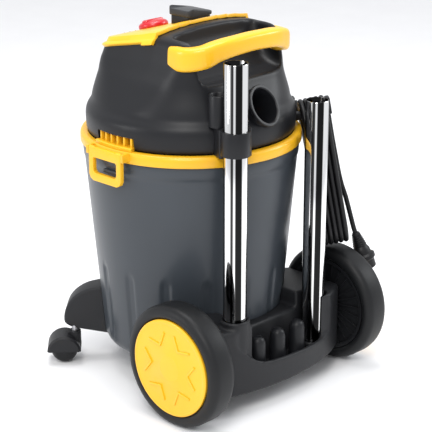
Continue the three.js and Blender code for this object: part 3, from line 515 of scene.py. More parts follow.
def wallR(z):
    widening = (tank["topR"] - tank["bottomR"]) * (z - tank["bottomZ"])
    return tank["bottomR"] + widening / (tank["topZ"] - tank["bottomZ"])


def tankOutside(grow=0.0):
    low, corner = tank["bottomZ"] - grow, tank["corner"]
    profile = [(0, low), (wallR(low) - corner + grow, low)]
    for k in range(1, 6):
        a = radians(90 * k / 6)
        profile.append((wallR(low) - corner + grow + corner * sin(a), low + corner * (1 - cos(a))))
    z = low + corner
    while z < tank["bandZ"] - 5:
        profile.append((wallR(z) + grow, z))
        z += 6
    band = tank["bandZ"]
    profile += [(wallR(band) + grow, band), (wallR(band) + 1.3 + grow, band + 1.4),
                (tank["topR"] + 0.9 + grow, 369), (tank["topR"] + 0.5 + grow, tank["topZ"])]
    return profile


# What a piece beside the tank is cut by, so that it clears the tank.
def roomForTank(clearance, footR):
    profile = [(0, 20), (footR, 20)] + tankOutside(clearance)[1:-2] + [(166, 420), (0, 420)]
    return lathe(profile, 160)


def tankShape():
    wall = tank["wall"]
    floorZ, pitch = tank["bottomZ"] + tank["floor"], 360 / tank["flutes"]
    inner = [(tank["topR"] - wall, tank["topZ"]), (wallR(60) - wall, 62), (wallR(floorZ) - 12, floorZ),
             (0, floorZ)]
    bm = lathe(tankOutside() + inner, 360)
    for vert in bm.verts:
        x, y, z = vert.co
        r = hypot(x, y)
        if r < wallR(z) - 1.5 or not tank["fluteLow"] < z < tank["bandZ"] - 4:
            continue
        turn = (atan2(y, x) * 180 / pi - tank["firstFlute"]) % pitch
        off = min(turn, pitch - turn) / tank["fluteHalf"]
        top = max(0.0, min(1.0, (tank["fluteTop"] - 6 * off * off - z) / 5))
        low = max(0.0, min(1.0, (z - tank["fluteLow"]) / 10))
        edge = max(0.0, min(1.0, (1.0 - off) / 0.35))
        depth = tank["fluteDepth"] * edge * edge * (3 - 2 * edge) * top * low
        vert.co = ((r - depth) * x / r, (r - depth) * y / r, z)
    return bm


inlet = {"z": 230, "radius": 29, "wall": 4, "flange": 40}
hole = aimed(disc(inlet["radius"] + 0.3, 0, 60), (0, tank["topR"] - 40, inlet["z"]), (0, 1, 0))
catch = {"inner": 157, "outer": 168, "half": 14, "low": 347, "top": 353}
catches = [block((min(a, b), -catch["half"], catch["low"]), (max(a, b), catch["half"], catch["top"]), 0, 1)
           for a, b in ((-catch["inner"], -catch["outer"]), (catch["inner"], catch["outer"]))]
finished("tankShell", together(carved(tankShape(), hole), *catches), "chassis", tankGrey, ["tank"],
         40)

backY = wallR(inlet["z"]) - 14
r, bore = inlet["radius"], inlet["radius"] - inlet["wall"]
inletProfile = [(bore, 0), (r, 0), (r, 9), (inlet["flange"] - 2, 9), (inlet["flange"], 11),
                (inlet["flange"], 16), (inlet["flange"] - 2.5, 18.4), (r + 2, 18.4), (r, 20.4),
                (r, 42.6), (r - 1.2, 44), (bore + 1, 44), (bore, 42.8), (bore, 0)]
inletBody = lathe(inletProfile, 64)
keys = [moved(block((r - 1, -5, 30), (r + 2.6, 5, 36), 0, 0.8), turnedBy(a)) for a in (0, 180)]
screws = [moved(shifted(disc(3.4, 17.8, 19.4, 20), 34.5, 0, 0), turnedBy(a)) for a in (45, 135, 225, 315)]
finished("hoseInlet", aimed(together(inletBody, *keys, *screws), (0, backY, inlet["z"]), (0, 1, 0)),
         "chassis", headBlack, ["hose_inlet"])
print("tank made")

# Ring, latches and grilles
ring = {"low": 370.5, "step": 373.6, "top": 387, "inner": 158, "lip": 166.3}
latch = {"x": 171.5, "width": 68, "low": 335, "thick": 7, "bar": 12, "hingeZ": 383.5}
ringProfile = [(ring["inner"], ring["step"]), (ring["lip"], ring["step"]), (ring["lip"], ring["low"]),
               (168.4, ring["low"]), (169.2, 371.6), (169.3, 374), (169.3, 380), (168.8, 383),
               (167.6, 385.2), (165.8, 386.6), (163, 387), (ring["inner"], 387),
               (ring["inner"], ring["step"])]


def ringLug(side):
    return block((-latch["x"] - latch["thick"], side * 37 - 2.5, 374), (-164.5, side * 37 + 2.5, 386.9),
                 0, 1)


lugs = [ringLug(-1), ringLug(1), mirrored(ringLug(-1)), mirrored(ringLug(1))]
finished("clampRing", together(lathe(ringProfile, 160), *lugs), "head", ringYellow, ["clamp_ring"])


def latchShape():
    x, low, top, half = latch["x"], latch["low"], ring["top"], latch["width"] / 2
    frameBox = alongX(prism([(-half + 9, low), (half - 9, low), (half - 3, low + 3), (half, low + 9),
                             (half, top - 1), (-half, top - 1), (-half, low + 9), (-half + 3, low + 3)],
                            -x - latch["thick"], -x))
    window = alongX(prism([(-half + 13.5, low + 12), (half - 13.5, low + 12), (half - 10, low + 14.5),
                           (half - 9, low + 18), (half - 9, 369), (half - 11, 371), (-half + 11, 371),
                           (-half + 9, 369), (-half + 9, low + 18), (-half + 10, low + 14.5)], -x - 20,
                          -x + 9))
    hinge = aimed(disc(2.3, 0, 80), (-x - latch["thick"] / 2, -40, latch["hingeZ"]), (0, 1, 0))
    frameBody = withEdges(carved(frameBox, window, hinge), 1.3, 2, 40)
    lip = block((-x - 1, -12, low + 4), (-x + 3.2, 12, low + latch["bar"] - 2), 0, 0.7)
    knuckles = [aimed(tube(3.4, 2.25, 0, 11, 24), (-x - latch["thick"] / 2, y, latch["hingeZ"]),
                      (0, 1, 0)) for y in (-34, 23)]
    return together(frameBody, lip, *knuckles)


for name in ("left", "right"):
    loop = latchShape()
    pin = aimed(disc(2, 0, 78, 20), (-latch["x"] - latch["thick"] / 2, -39, latch["hingeZ"]), (0, 1, 0))
    if name == "right":
        loop, pin = mirrored(loop), mirrored(pin)
    finished(f"latch_{name}_loop", loop, f"latch_{name}", yellowPlastic, [f"latch_{name}"])
    finished(f"latch_{name}_rod", pin, "head", plainSteel, [f"latch_pin_{name}"])

grille = {"half": 14, "fins": 6, "thick": 3.6, "low": 387.3, "height": 18.5, "inner": 148, "outer": 158.6}


def grilleShape():
    ledge = lathe([(grille["inner"], grille["low"]), (165, grille["low"]), (165, 391), (163.6, 392.2),
                   (grille["inner"], 392.2), (grille["inner"], grille["low"])], 180)
    # keep the arc between two planes
    for angle in (180 - grille["half"] + 0.6, 180 + grille["half"] - 0.6):
        a = radians(angle)
        cut = sliced(ledge, (0, 0, 0), (sin(a), -cos(a), 0), angle < 180)
        rim = [e for e in cut["geom_cut"] if isinstance(e, bmesh.types.BMEdge)]
        bmesh.ops.holes_fill(ledge, edges=rim)
    parts = [ledge]
    spread = (grille["half"] - 2.2) * 2
    for k in range(grille["fins"]):
        turn = turnedBy(180 - spread / 2 + spread * k / (grille["fins"] - 1))
        fin = block((grille["inner"] - 2, -grille["thick"] / 2, grille["low"] + 1),
                    (grille["outer"], grille["thick"] / 2, grille["low"] + grille["height"]), 1.2, 0.6)
        parts.append(moved(fin, turn))
    return together(*parts)


finished("airGrilleLeft", grilleShape(), "head", yellowPlastic, ["air_grille_left"])
finished("airGrilleRight", mirrored(grilleShape()), "head", yellowPlastic, ["air_grille_right"])
print("ring and latches made")

# Head
head = {"baseHalf": 159, "topHalf": 100, "low": 387, "top": 552.7, "slope": 0.283, "slopeY": -26,
        "crown": 0.0009, "crownEndY": 90, "wall": 3, "steps": 144, "fit": 0.3}


def clamp(value, low=0.0, high=1.0):
    return max(low, min(high, value))


def squareStretch(roundShare, x, y):
    length = hypot(x, y)
    if length < 1e-6:
        return 1.0
    along, across = sorted((abs(x) / length, abs(y) / length), reverse=True)
    straight = 1 - roundShare
    if across / along <= straight:
        return 1 / along
    rest = max(0.0, roundShare ** 2 - (straight * (along - across)) ** 2)
    return straight * (along + across) + sqrt(rest)


def topFall(x, y, z):
    share = clamp((z - head["low"] - 83) / 70)
    rear = clamp((head["crownEndY"] - y) / (head["crownEndY"] - head["slopeY"]))
    return share * (head["slope"] * max(0.0, y - head["slopeY"]) + rear * head["crown"] * x * x)


def headShape(grow=0.0, bottom=387.3):
    full, low, top, half = head["baseHalf"], head["low"], head["top"], head["topHalf"]
    knots = [(full - 1, bottom), (full + 1, low + 14), (full, low + 35), (full - 12, low + 47),
             (full - 18.5, low + 57), (full - 38, low + 87), (half + 12, low + 113),
             (half + 5, low + 135), (half + 1, top - 10), (half - 3, top - 3), (half - 10, top)]
    profile = [(0, bottom)] + [(r + grow, z) for r, z in curveThrough(knots)]
    profile[-1] = (profile[-1][0], top + grow)
    profile += [(radius, top + grow) for radius in (70, 50, 30, 12, 0)]
    bm = lathe(profile, head["steps"])
    for vert in bm.verts:
        x, y, z = vert.co
        lower, upper = clamp((z - low - 38) / 49), clamp((z - low - 87) / 48)
        stretch = squareStretch(1 - 0.40 * lower - 0.30 * upper, x, y)
        x, y = x * stretch, y * stretch
        vert.co = (x, y, z - topFall(x, y, z))
    return bm


handle = {"halfSpan": 97, "footY": -72, "gripY": -122, "footZ": 521, "gripZ": 538}


def handleStations(grow=0.0):
    x, fy, gy, fz, gz = (handle[k] for k in ("halfSpan", "footY", "gripY", "footZ", "gripZ"))
    half = [((x + 1.5, fy + 12 + grow, fz + 1), 15, 8), ((x + 1, fy, fz), 17.5, 10.5),
            ((x, fy - 12, fz), 17.5, 12.4), ((x - 5, fy - 25, fz + 1.5), 17, 13),
            ((x - 16, fy - 37, fz + 5), 16.5, 13), ((x - 31, gy + 7, fz + 10.5), 15, 13),
            ((x - 46, gy + 2.5, fz + 14), 14, 13), ((x - 68, gy, gz - 1), 13.2, 13),
            ((0, gy - 0.5, gz), 13, 13)]
    far = [((-c[0], c[1], c[2]), up, across) for c, up, across in half[-2::-1]]
    whole = half + far
    centres = smoothPoints([c for c, _, _ in whole], 4)
    sizes = smoothPoints([(up, across, 0) for _, up, across in whole], 4)
    stations = []
    for k, (centre, size) in enumerate(zip(centres, sizes)):
        before, after = centres[max(0, k - 1)], centres[min(len(centres) - 1, k + 1)]
        along = Vector((after.x - before.x, after.y - before.y, (after.z - before.z) * 0.4))
        stations.append((centre, along, size.x + grow, size.y + grow))
    return stations


pocket = {"half": 86, "floor": 483, "front": -44, "corner": 20}


def pocketShape():
    floor, front, top = pocket["floor"], pocket["front"], head["top"] + 30
    outline = [(-200, floor), (front - 56, floor), (front - 40, floor + 4), (front - 26, floor + 13),
               (front - 12, floor + 30), (front - 4, floor + 52), (front, top), (-200, top)]
    bm = alongX(prism(outline, -pocket["half"], pocket["half"]))
    sides = [e for e in bm.edges if abs(abs(e.verts[0].co.x) - pocket["half"]) < 0.1
             and abs(e.verts[0].co.x - e.verts[1].co.x) < 0.1 and max(v.co.z for v in e.verts) < top - 1
             and min(v.co.y for v in e.verts) > -199]
    sides += [e for e in bm.edges if abs(e.verts[0].co.x - e.verts[1].co.x) < 0.1
              and abs(e.verts[0].co.x) > 80 and abs(e.verts[0].co.z - floor) < 0.1
              and abs(e.verts[1].co.z - floor) < 0.1 and e not in sides]
    bmesh.ops.bevel(bm, geom=sides, offset=pocket["corner"], segments=5, affect="EDGES", profile=0.5,
                    material=-1, clamp_overlap=True)
    return bm


port = {"outer": 30, "wall": 3.5, "rim": 2, "length": 62, "mouth": (0, -153, 448), "tilt": 28, "swing": 8}
tiltUp, swingOut = radians(port["tilt"]), radians(port["swing"])
portAxis = Vector((sin(swingOut) * cos(tiltUp), -cos(swingOut) * cos(tiltUp), sin(tiltUp)))


def onPort(bm):
    return aimed(bm, Vector(port["mouth"]) - portAxis * port["length"], portAxis)


shell = carved(headShape(), pocketShape())
fairing = onPort(lathe([(0, -10), (44, -10), (40, 12), (35, 26), (31.5, 38), (0, 38)], 64))
shell = carved(shell, fairing, operation="UNION")
shell = softened(shell, 2.6, 5)
sliced(shell, (0, 0, 388.4), (0, 0, 1))
shell = thickened(shell, head["wall"])


# The cut-out behind an air grille, an arc about the direction given in degrees.
def windowShape(middle):
    outline = []
    for radius, turns in ((176, range(-6, 7)), (140, range(6, -7, -1))):
        angles = [radians(middle + grille["half"] * k / 6) for k in turns]
        outline += [(radius * cos(a), radius * sin(a)) for a in angles]
    return prism(outline, 380, 406)


bmesh.ops.recalc_face_normals(shell, faces=shell.faces)
portHole = onPort(disc(port["outer"] + 0.3, -40, 90, 64))
shell = carved(shell, windowShape(180), windowShape(0), portHole)
finished("headShell", shell, "head", headBlack, ["head_shell"], 50)
print("head shell made")

finished("carryHandle", swept(handleStations(), 32, 0.5), "head", yellowPlastic, ["handle"],
         50)

deck = {"thick": 5, "rise": 5.3, "backY": -26, "lipFront": -4, "skirt": 14, "fallPerY": 0.2, "lipRaise": 0.7}


def deckPatch(grow, fromY, toY, skirt):
    bm = headShape(grow)
    planes = [((0, fromY, 0), (0, 1, 0), False), ((0, toY, 0), (0, 1, 0), True),
              ((0, deck["backY"], head["top"] - skirt), (0, deck["fallPerY"], 1), False)]
    for place, normal, above in planes:
        sliced(bm, place, normal, above)
    return withEdges(thickened(bm, deck["thick"]), 1.2, 2, 50)


deckMain = deckPatch(deck["rise"], deck["lipFront"] - 0.5, 200, deck["skirt"])
deckLip = deckPatch(deck["rise"] + deck["lipRaise"], deck["backY"], deck["lipFront"], deck["skirt"] + 4)
marks = [(disc(1.1, -1, 0.25, 16), x, 100) for x in (-43, -31.6, -20)]
deckTilt = sin(atan2(head["slope"], 1)), cos(atan2(head["slope"], 1))
knobAxis = Vector((0, deckTilt[0], deckTilt[1]))
deckTop = head["top"] + deck["rise"]


def onDeck(bm, x, y, lift=0.0):
    base = Vector((x, y, deckTop - topFall(x, y, head["top"]))) + knobAxis * lift
    return aimed(bm, base, knobAxis)


finished("topDeck", together(deckMain, deckLip), "head", yellowPlastic, ["top_deck"], 45)
finished("deckMarks", together(*[onDeck(*mark) for mark in marks]), "head", headBlack, ())
print("deck made")

knob = {"y": 80, "radius": 23, "height": 15, "grip": 12}


def knobShape():
    r = knob["radius"]
    skirt = lathe([(0, 0.3), (r - 0.5, 0.3), (r, 1), (r, 4.5), (r - 1.2, 6.6), (r - 3.5, 8.4),
                   (r - 8, 10), (r - 13, 10.8), (0, 11.2)], 64)
    grip = block((-r + 3, -knob["grip"] / 2, 4), (r - 3, knob["grip"] / 2, knob["height"]), 5.5, 1.6, 6)
    for vert in grip.verts:  # the bar is arched from end to end
        if vert.co.z > 6:
            vert.co.z -= 4.5 * (abs(vert.co.x) / (r - 3)) ** 2
    pointer = block((r - 9, -0.8, knob["height"] - 5), (r - 4, 0.8, knob["height"] - 3.4), 0, 0.2)
    return together(skirt, grip, pointer)


finished("switchKnob", onDeck(knobShape(), 0, knob["y"]), "knob", knobRed, ["switch_knob"], 40)

outlet = {"half": 23, "low": 550.6, "top": 559.6, "recess": 17, "depth": 8, "lidLow": 5, "lidHigh": 13}
outletBox = block((-outlet["half"], -outlet["half"], outlet["low"] - 12),
                  (outlet["half"], outlet["half"], outlet["top"]), 9, 0, 6)
outletRecess = disc(outlet["recess"], outlet["top"] - outlet["depth"], outlet["top"] + 5, 40)
contacts = [shifted(disc(2.8, outlet["top"] - outlet["depth"] - 5, outlet["top"], 20), x, 0, 0)
            for x in (-9.5, 9.5)]
outletBody = carved(outletBox, outletRecess, *contacts, headShape(deck["rise"] + head["fit"]))
finished("outletBody", withEdges(outletBody, 0.8, 2, 50), "head", headBlack, ["outlet_body"],
         45)


def lidShape():
    half, low, high = outlet["half"] + 2, outlet["top"] + 0.3, outlet["lidHigh"]
    bm = block((-half, -half, low), (half, half, low + high), 9, 0, 6)
    for vert in bm.verts:
        if vert.co.z > low + 1:
            slope = clamp((vert.co.x + half - 8) / (2 * half - 8))
            vert.co.z = low + high - (high - outlet["lidLow"]) * slope - (3 if vert.co.x < -half + 3 else 0)
    return withEdges(bm, 1.6, 3, 40)


finished("outletLid", lidShape(), "lid", lidGrey, ["outlet_lid"], 40)
print("controls made")

# What stands on the head's back: blower port, clip, tool socket and cable hook
portR, portBore = port["outer"], port["outer"] - port["wall"]
portProfile = [(portBore, -2), (portR, -2), (portR, 56), (portR + port["rim"], 58),
               (portR + port["rim"], 60.8), (portR + 1, 62), (portBore + 1.4, 62), (portBore, 60.4),
               (portBore, -2)]
finished("blowerPort", onPort(lathe(portProfile, 72)), "head", headBlack, ["blower_port"])

wand = {"x": 87.5, "y": -177, "radius": 17.5, "wall": 1.2, "length": 390, "leftZ": 140, "rightZ": 54}
clip = {"bore": 18.3, "wall": 3.4, "low": 397, "top": 433, "padFrom": 149, "padTo": 183}


def clipShape():
    collar = shifted(tube(clip["bore"] + clip["wall"], clip["bore"], clip["low"], clip["top"], 56),
                     -wand["x"], wand["y"], 0)
    turn = atan2(wand["y"], -wand["x"])
    pad = block((clip["padFrom"], -19, clip["low"] - 8.5), (clip["padTo"], 31, clip["top"] - 3), 4)
    moved(pad, Matrix.Rotation(turn, 4, "Z"))
    boreCut = shifted(disc(clip["bore"] + 0.05, 0, 900, 56), -wand["x"], wand["y"], 0)
    pad = carved(pad, boreCut, headShape(head["fit"]))
    return withEdges(together(collar, pad), 0.9, 2, 50)


finished("tubeClip", clipShape(), "head", headBlack, ["tube_clip"], 45)
socket = {"x": -81, "y": -138, "radius": 15, "bore": 12, "low": 430.5, "floor": 435, "top": 477}
r, bore, top = socket["radius"], socket["bore"], socket["top"]
socketBody = lathe([(0, socket["low"]), (r, socket["low"]), (r, top - 1.4), (r - 0.8, top), (bore + 0.8, top),
                    (bore, top - 1), (bore, socket["floor"]), (0, socket["floor"])], 48)
shifted(socketBody, socket["x"], socket["y"], 0)
finished("toolSocket", carved(socketBody, headShape(head["fit"])), "head", headBlack, ["accessory_socket"],
         45)


def inHankMatrix():
    a, o, u = (Vector(cordFacts[k]).normalized() for k in ("along", "out", "up"))
    turn = Matrix((a, o, u)).transposed().to_4x4()
    return Matrix.Translation(cordFacts["top"]) @ turn


hook = {"half": 6.5, "root": -45, "tip": 28, "low": 9.8, "barTop": 22, "tipTop": 37.8, "round": 2.5}
hookBar = block((-hook["half"], hook["root"], hook["low"]), (hook["half"], 22, hook["barTop"]), 0,
                hook["round"])
hookTip = block((-hook["half"], 20.5, hook["low"]), (hook["half"], hook["tip"], hook["tipTop"]), 0,
                hook["round"])
hookBody = moved(carved(hookBar, hookTip, operation="UNION"), inHankMatrix())
hookBody = carved(hookBody, headShape(head["fit"]))
sliced(hookBody, (0, 0, 387.4), (0, 0, 1))
bmesh.ops.holes_fill(hookBody, edges=[e for e in hookBody.edges if e.is_boundary])
finished("cableHook", hookBody, "head", headBlack, ["cable_hook"], 45)
print("head fittings made")

# Rear base, tray and pegs
base = {"low": 31.5, "top": 136, "floor": 43.7, "back": -213, "front": -70, "gap": 2.5, "lip": 112,
        "wall": 6, "left": -64, "right": 109, "trayFront": -158, "backWall": 7, "dipZ": 80,
        "voxel": 2.2}
wheel = {"radius": 92.5, "width": 45, "x": 194.3, "coverR": 73.4, "tyreDepth": 18, "coverProud": 2.4}
axle = {"radius": 6, "y": -149}


def standTube(x, low, high, radius):
    return shifted(disc(radius, low, high, 48), x, wand["y"], 0)


def basePlan(inset=0.0, backInset=0.0, front=base["front"], steps=12):
    side, back = wheel["x"] - wheel["width"] - base["gap"] - inset, base["back"] + backInset

    def bend(start, middle, end):
        for k in range(1, steps + 1):
            t = k / steps
            yield tuple((1 - t) ** 2 * p + 2 * t * (1 - t) * q + t * t * r
                        for p, q, r in zip(start, middle, end))

    low, tail = (-side, back + 34), (0, back)
    return [(-side, front), low, *bend(low, (-side * 0.62, back), tail),
            *bend(tail, (side * 0.62, back), (side, back + 34)), (side, front)]


def baseShape():
    bm = withEdges(prism(basePlan(), base["low"], base["top"]), 5, 3, 60)
    shelf = prism([(-110, -75), (110, -75), (80, 45), (-80, 45)], base["low"] + 4, 50)
    middle = (base["left"] + base["right"]) / 2
    tray = block((base["left"] - 6, base["trayFront"] - 90, base["floor"]),
                 (base["right"], base["trayFront"], 200), 20, 0, 6)
    tray = carved(tray, prism(basePlan(base["wall"], base["backWall"], 0), 0, 250), operation="INTERSECT")
    left, right, z, top = base["left"], base["right"], base["dipZ"], base["top"]
    dipKnots = [(left - 62, top + 16), (left - 52, top - 2), (left - 42, z + 34), (left - 30, z + 20),
                (left - 14, z + 8), (left + 2, z - 1), (left + 24, z - 6), (middle + 10, z - 10),
                (right - 34, z - 11), (right - 14, z - 8), (right - 4, z), (right + 1, z + 14),
                (right - 2, z + 30), (right - 12, top + 16)]
    dip = alongY(prism(curveThrough(dipKnots), 197, 270))
    lip = block((-70, -200, base["lip"]), (70, -100, top + 5))
    bm = carved(carved(bm, shelf, operation="UNION"), tray, dip, lip)
    seats = [standTube(-wand["x"], 60, 146, 22.4), standTube(wand["x"], base["floor"] - 1, 61, 22.4)]
    bm = softened(carved(bm, *seats, operation="UNION"), base["voxel"], 3)
    bores = [standTube(-wand["x"], wand["leftZ"] - 0.3, 400, 18.3),
             standTube(wand["x"], wand["rightZ"] - 0.3, 400, 18.3)]
    axleBore = aimed(disc(axle["radius"] + 0.4, 0, 520), (-260, axle["y"], wheel["radius"]), (1, 0, 0))
    return carved(bm, *bores, axleBore, roomForTank(0.6, 110))


finished("rearBase", baseShape(), "chassis", baseGrey, ["rear_base"], 45)

peg = {"radius": 12.5, "spacing": 44, "y": -183, "top": 106}


def pegShape(x):
    r, low, top = peg["radius"], base["floor"] + 0.2, peg["top"]
    bm = lathe([(0, low), (r + 1, low), (r + 1, low + 2.5), (r, low + 4), (r - 0.5, top - 13),
                (r - 1.4, top - 7), (r - 3.2, top - 3), (r - 6.2, top - 0.6), (r - 9, top), (0, top)],
               48)
    slot = block((-0.9, -20, top - 22), (0.9, 20, top + 5))
    return shifted(carved(bm, moved(slot, turnedBy(40))), x, peg["y"], 0)


for k, side in enumerate(("left", "middle", "right")):
    finished(f"toolPeg_{side}", pegShape((k - 1) * peg["spacing"]), "chassis", headBlack,
             [f"accessory_peg_{side}"], 45)
print("base made")

# Wand tubes
# Painted reflections for the chrome tubes: for each stop, the share of the way round and how bright the
# painted band is.
paintedReflectionBands = [(0.30, 0.015), (0.335, 0.9), (0.42, 0.75), (0.44, 0.04), (0.462, 0.04), (0.472, 0.9),
               (0.488, 0.9), (0.50, 0.015), (0.58, 0.015), (0.592, 0.95), (0.68, 0.95), (0.71, 0.015),
               (0.85, 0.015), (0.90, 0.8), (0.95, 0.015)]
for side, sign, low in (("left", -1, wand["leftZ"]), ("right", 1, wand["rightZ"])):
    r, high, bore = wand["radius"], low + wand["length"], wand["radius"] - wand["wall"]
    profile = [(bore, low + 0.5), (r - 0.3, low + 0.3), (r, low + 0.8), (r, high - 0.6),
               (r - 0.5, high), (bore + 0.2, high), (bore, high - 0.4), (bore, low + 0.5)]
    # Chrome whose base colour carries the painted reflection bands.
    chrome = chromeWithPaintedReflections(f"chrome_{side}", sign * wand["x"] / 1000, wand["y"] / 1000 + axisY, paintedReflectionBands)
    tubeBody = shifted(lathe(profile, 96), sign * wand["x"], wand["y"], 0)
    finished(f"wandTube_{side}", tubeBody, f"wand_{side}", chrome, [f"wand_tube_{side}"], 40)

# Wheels
tyreIn = wheel["radius"] - wheel["tyreDepth"]


def tyreShape():
    half, r = wheel["width"] / 2, wheel["radius"]
    profile = [(tyreIn, -half + 3), (tyreIn + 1.4, -half + 0.8), (tyreIn + 5, -half),
               (r - 9, -half + 0.6), (r - 4, -half + 3), (r - 1, -half + 7), (r, -half + 12),
               (r, half - 12), (r - 1, half - 7), (r - 4, half - 3), (r - 9, half - 0.6),
               (tyreIn + 5, half), (tyreIn + 1.4, half - 0.8), (tyreIn, half - 3), (tyreIn, -half + 3)]
    return lathe(profile, 144)


def rimShape():
    half, r, hub = wheel["width"] / 2 - 1, tyreIn - 0.3, 15
    profile = [(axle["radius"] + 0.2, -half), (hub, -half), (hub, -half + 7), (r - 6, -half + 7),
               (r - 6, -half + 1), (r - 4, -half), (r, -half), (r, half - 5), (r - 4, half - 5),
               (r - 6, half - 6), (r - 6, 2), (hub, 2), (hub, half - 6),
               (axle["radius"] + 0.2, half - 6), (axle["radius"] + 0.2, -half)]
    parts = [lathe(profile, 120)]
    for k in range(24):
        rib = block((hub - 1, -1, -half + 4), (r - 5, 1, -half + 8), 0, 0)
        parts.append(moved(rib, turnedBy(15 * k + 7.5)))
    return together(*parts)


def coverShape():
    half, r = wheel["width"] / 2, wheel["coverR"]
    profile = [(0, half - 4.4), (r - 1, half - 4.4), (r, half - 3.6), (r, half + 0.2),
               (r - 1.2, half + 1.3), (r - 4, half + 1.6), (r - 5.5, half + 0.9), (r - 7, half + 0.8),
               (22, half + 0.8), (20.5, half + 1.5), (18, half + 1.7), (0, half + 1.7)]
    bm = lathe(profile, 96)
    marks = []
    for k in range(6):  # six V ribs, each with its point to the middle
        rib = prism([(-19, 15), (-17, 18), (0, 4), (17, 18), (19, 15), (0, 0)], half - 1,
                    half + wheel["coverProud"] + 0.2)
        marks.append(moved(withEdges(rib, 0.6, 2, 40), turnedBy(60 * k) @ Matrix.Translation((0, 35, 0))))
    return together(bm, *marks)


for side, sign in (("left", -1), ("right", 1)):
    hubPoint = (sign * (wheel["x"] - wheel["width"] / 2), axle["y"], wheel["radius"])
    out = (sign, 0, 0)
    body = f"wheel_{side}"
    finished(f"tyre_{side}", aimed(tyreShape(), hubPoint, out), body, tyreRubber, [f"tyre_{side}"],
             50)
    finished(f"wheelRim_{side}", aimed(rimShape(), hubPoint, out), body, wheelBlack,
             [f"wheel_rim_{side}"], 40)
    finished(f"hubCover_{side}", aimed(coverShape(), hubPoint, out), body, yellowPlastic,
             [f"hub_cover_{side}"], 40)
print("wheels made")

# Front arms and casters
arm = {"angle": 42.6, "half": 21, "reach": 203, "top": 128, "low": 50}
caster = {"radius": 21.5, "width": 36, "x": 138, "y": 127, "trail": 17, "hood": 3, "stem": 5}


def armShape():
    low, top, reach = arm["low"], arm["top"], arm["reach"]
    knots = [(182, low + 6), (reach - 8, low + 10), (reach - 1, low + 16), (reach, low + 24),
             (reach - 2, low + 36), (reach - 8, low + 50), (reach - 19, low + 62),
             (reach - 36, top - 6), (reach - 60, top)]
    outline = [(118, low - 4), *curveThrough(knots), (118, top)]
    bm = withEdges(prism(outline, -arm["half"], arm["half"]), 4.5, 4, 55)
    bm = moved(alongY(bm), turnedBy(90 + arm["angle"]))
    stemBore = shifted(disc(caster["stem"] + 0.3, 20, 84, 32), -caster["x"], caster["y"], 0)
    return carved(bm, roomForTank(0.4, 120), stemBore)


outward = Vector((-caster["x"], caster["y"], 0)).normalized()
ballCentre = Vector((-caster["x"], caster["y"], caster["radius"])) + outward * caster["trail"]
ballAxis = Vector((-outward.y, outward.x, 0))


def ballShape():
    r, half = caster["radius"], caster["width"] / 2
    profile = [(2.5, -half), (r - 9, -half), (r - 5.2, -half + 2.6), (r - 2.6, -half + 6),
               (r - 1, -half + 10.5), (r, -3.5), (r, 3.5), (r - 1, half - 10.5), (r - 2.6, half - 6),
               (r - 5.2, half - 2.6), (r - 9, half), (2.5, half), (2.5, -half)]
    return aimed(lathe(profile, 72), ballCentre, ballAxis)


def hoodShape():
    r, half, wall = caster["radius"] + 2.2, caster["width"] / 2 + 1.2, caster["hood"]
    outer = lathe([(0, -half - wall), (r + wall - 3, -half - wall), (r + wall, -half - wall + 3),
                   (r + wall, half + wall - 3), (r + wall - 3, half + wall), (0, half + wall)], 64)
    inner = aimed(disc(r, -half, half, 64), ballCentre, ballAxis)
    boss = shifted(disc(caster["stem"] + 5, caster["radius"] + 2, arm["low"] + 1.5, 32), -caster["x"],
                   caster["y"], 0)
    x, y = ballCentre.x, ballCentre.y
    below = block((x - 60, y - 60, -20), (x + 60, y + 60, caster["radius"] + 1))
    stemBore = shifted(disc(caster["stem"] + 0.3, 2 * caster["radius"] + 1.5, 90, 32), -caster["x"],
                       caster["y"], 0)
    pinBore = aimed(disc(2.4, -60, 60, 20), ballCentre, ballAxis)
    shell = carved(aimed(outer, ballCentre, ballAxis), boss, operation="UNION")
    return carved(shell, inner, below, stemBore, pinBore)


for side in ("left", "right"):
    shapes = [armShape(), hoodShape(), ballShape()]
    if side == "right":
        shapes = [mirrored(shape) for shape in shapes]
    finished(f"frontArm_{side}", shapes[0], "chassis", baseGrey, [f"front_arm_{side}"], 40)
    finished(f"casterHood_{side}", shapes[1], f"caster_fork_{side}", baseGrey, [f"caster_hood_{side}"],
             40)
    finished(f"casterBall_{side}", shapes[2], f"caster_wheel_{side}", tyreRubber,
             [f"caster_ball_{side}"], 50)
print("casters made")

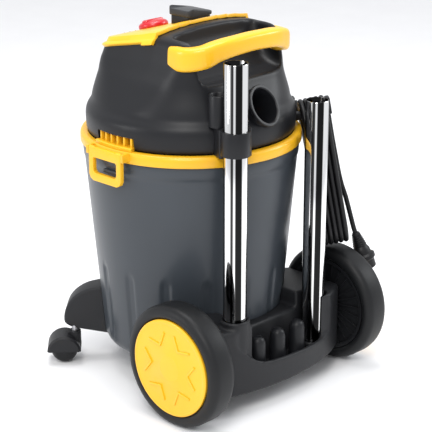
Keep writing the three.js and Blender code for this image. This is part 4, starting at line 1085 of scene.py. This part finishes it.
# Pieces kept from the frame get the same materials
kept = {"inlet_deflector": headBlack, "axle": plainSteel, "caster_stem_left": plainSteel,
        "caster_stem_right": plainSteel, "caster_pin_left": headBlack, "caster_pin_right": headBlack,
        "motor_base_plate": headBlack, "fan_housing": motorMetal, "impeller": motorMetal,
        "motor_frame": motorMetal, "armature": windings, "filter_cage": headBlack,
        "filter_cartridge": filterPaper, "filter_cap": headBlack, "rotary_switch": headBlack,
        "tank_seal": sealRubber, "float_ball": floatWhite}
for name, material in kept.items():
    for slotPlace in bpy.data.objects[name].material_slots:
        slotPlace.material = material

# Floor, lights and surroundings
studio = {"floor": (0.93, 0.93, 0.94), "sky": (0.97, 0.98, 1.0), "strength": 0.85, "aimZ": 280}
lamps = [  # name, place, width across, watts, colour
    ("keyLamp", (-1500, -1100, 1900), 900, 24, (1.0, 0.985, 0.96)),
    ("sideLamp", (1700, -1100, 1300), 700, 14, (0.95, 0.98, 1.0)),
    ("topLamp", (0, 200, 2200), 1300, 28, (1.0, 1.0, 1.0)),
    ("frontLamp", (-1900, 900, 900), 600, 9, (1.0, 1.0, 1.0)),
]
scene.view_settings.view_transform = "Standard"
floorMesh = bpy.data.meshes.new("floor")
floorShape = bmesh.new()
bmesh.ops.create_grid(floorShape, x_segments=1, y_segments=1, size=20)
floorShape.to_mesh(floorMesh)
floorShape.free()
floorMaterial = moulded("floorPaint", studio["floor"], 0.7, grain=60, bump=0.02, drift=0.01, specular=0.2)
floorMesh.materials.append(floorMaterial)
floor = newObject("floor", floorMesh)
for name, place, size, power, colour in lamps:
    light = bpy.data.lights.new(name, "AREA")
    light.shape = "DISK"
    light.size = size / 1000
    light.energy = power
    light.color = colour
    lamp = bpy.data.objects.new(name, light)
    lamp.location = toFrame @ Vector(place)
    toward = toFrame @ Vector((0, 0, studio["aimZ"])) - lamp.location
    lamp.rotation_euler = toward.to_track_quat("-Z", "Y").to_euler()
    scene.collection.objects.link(lamp)
world = bpy.data.worlds.new("studio")
world.use_nodes = True
world.node_tree.nodes["Background"].inputs["Color"].default_value = (*studio["sky"], 1)
world.node_tree.nodes["Background"].inputs["Strength"].default_value = studio["strength"]
scene.world = world
print("lights made")
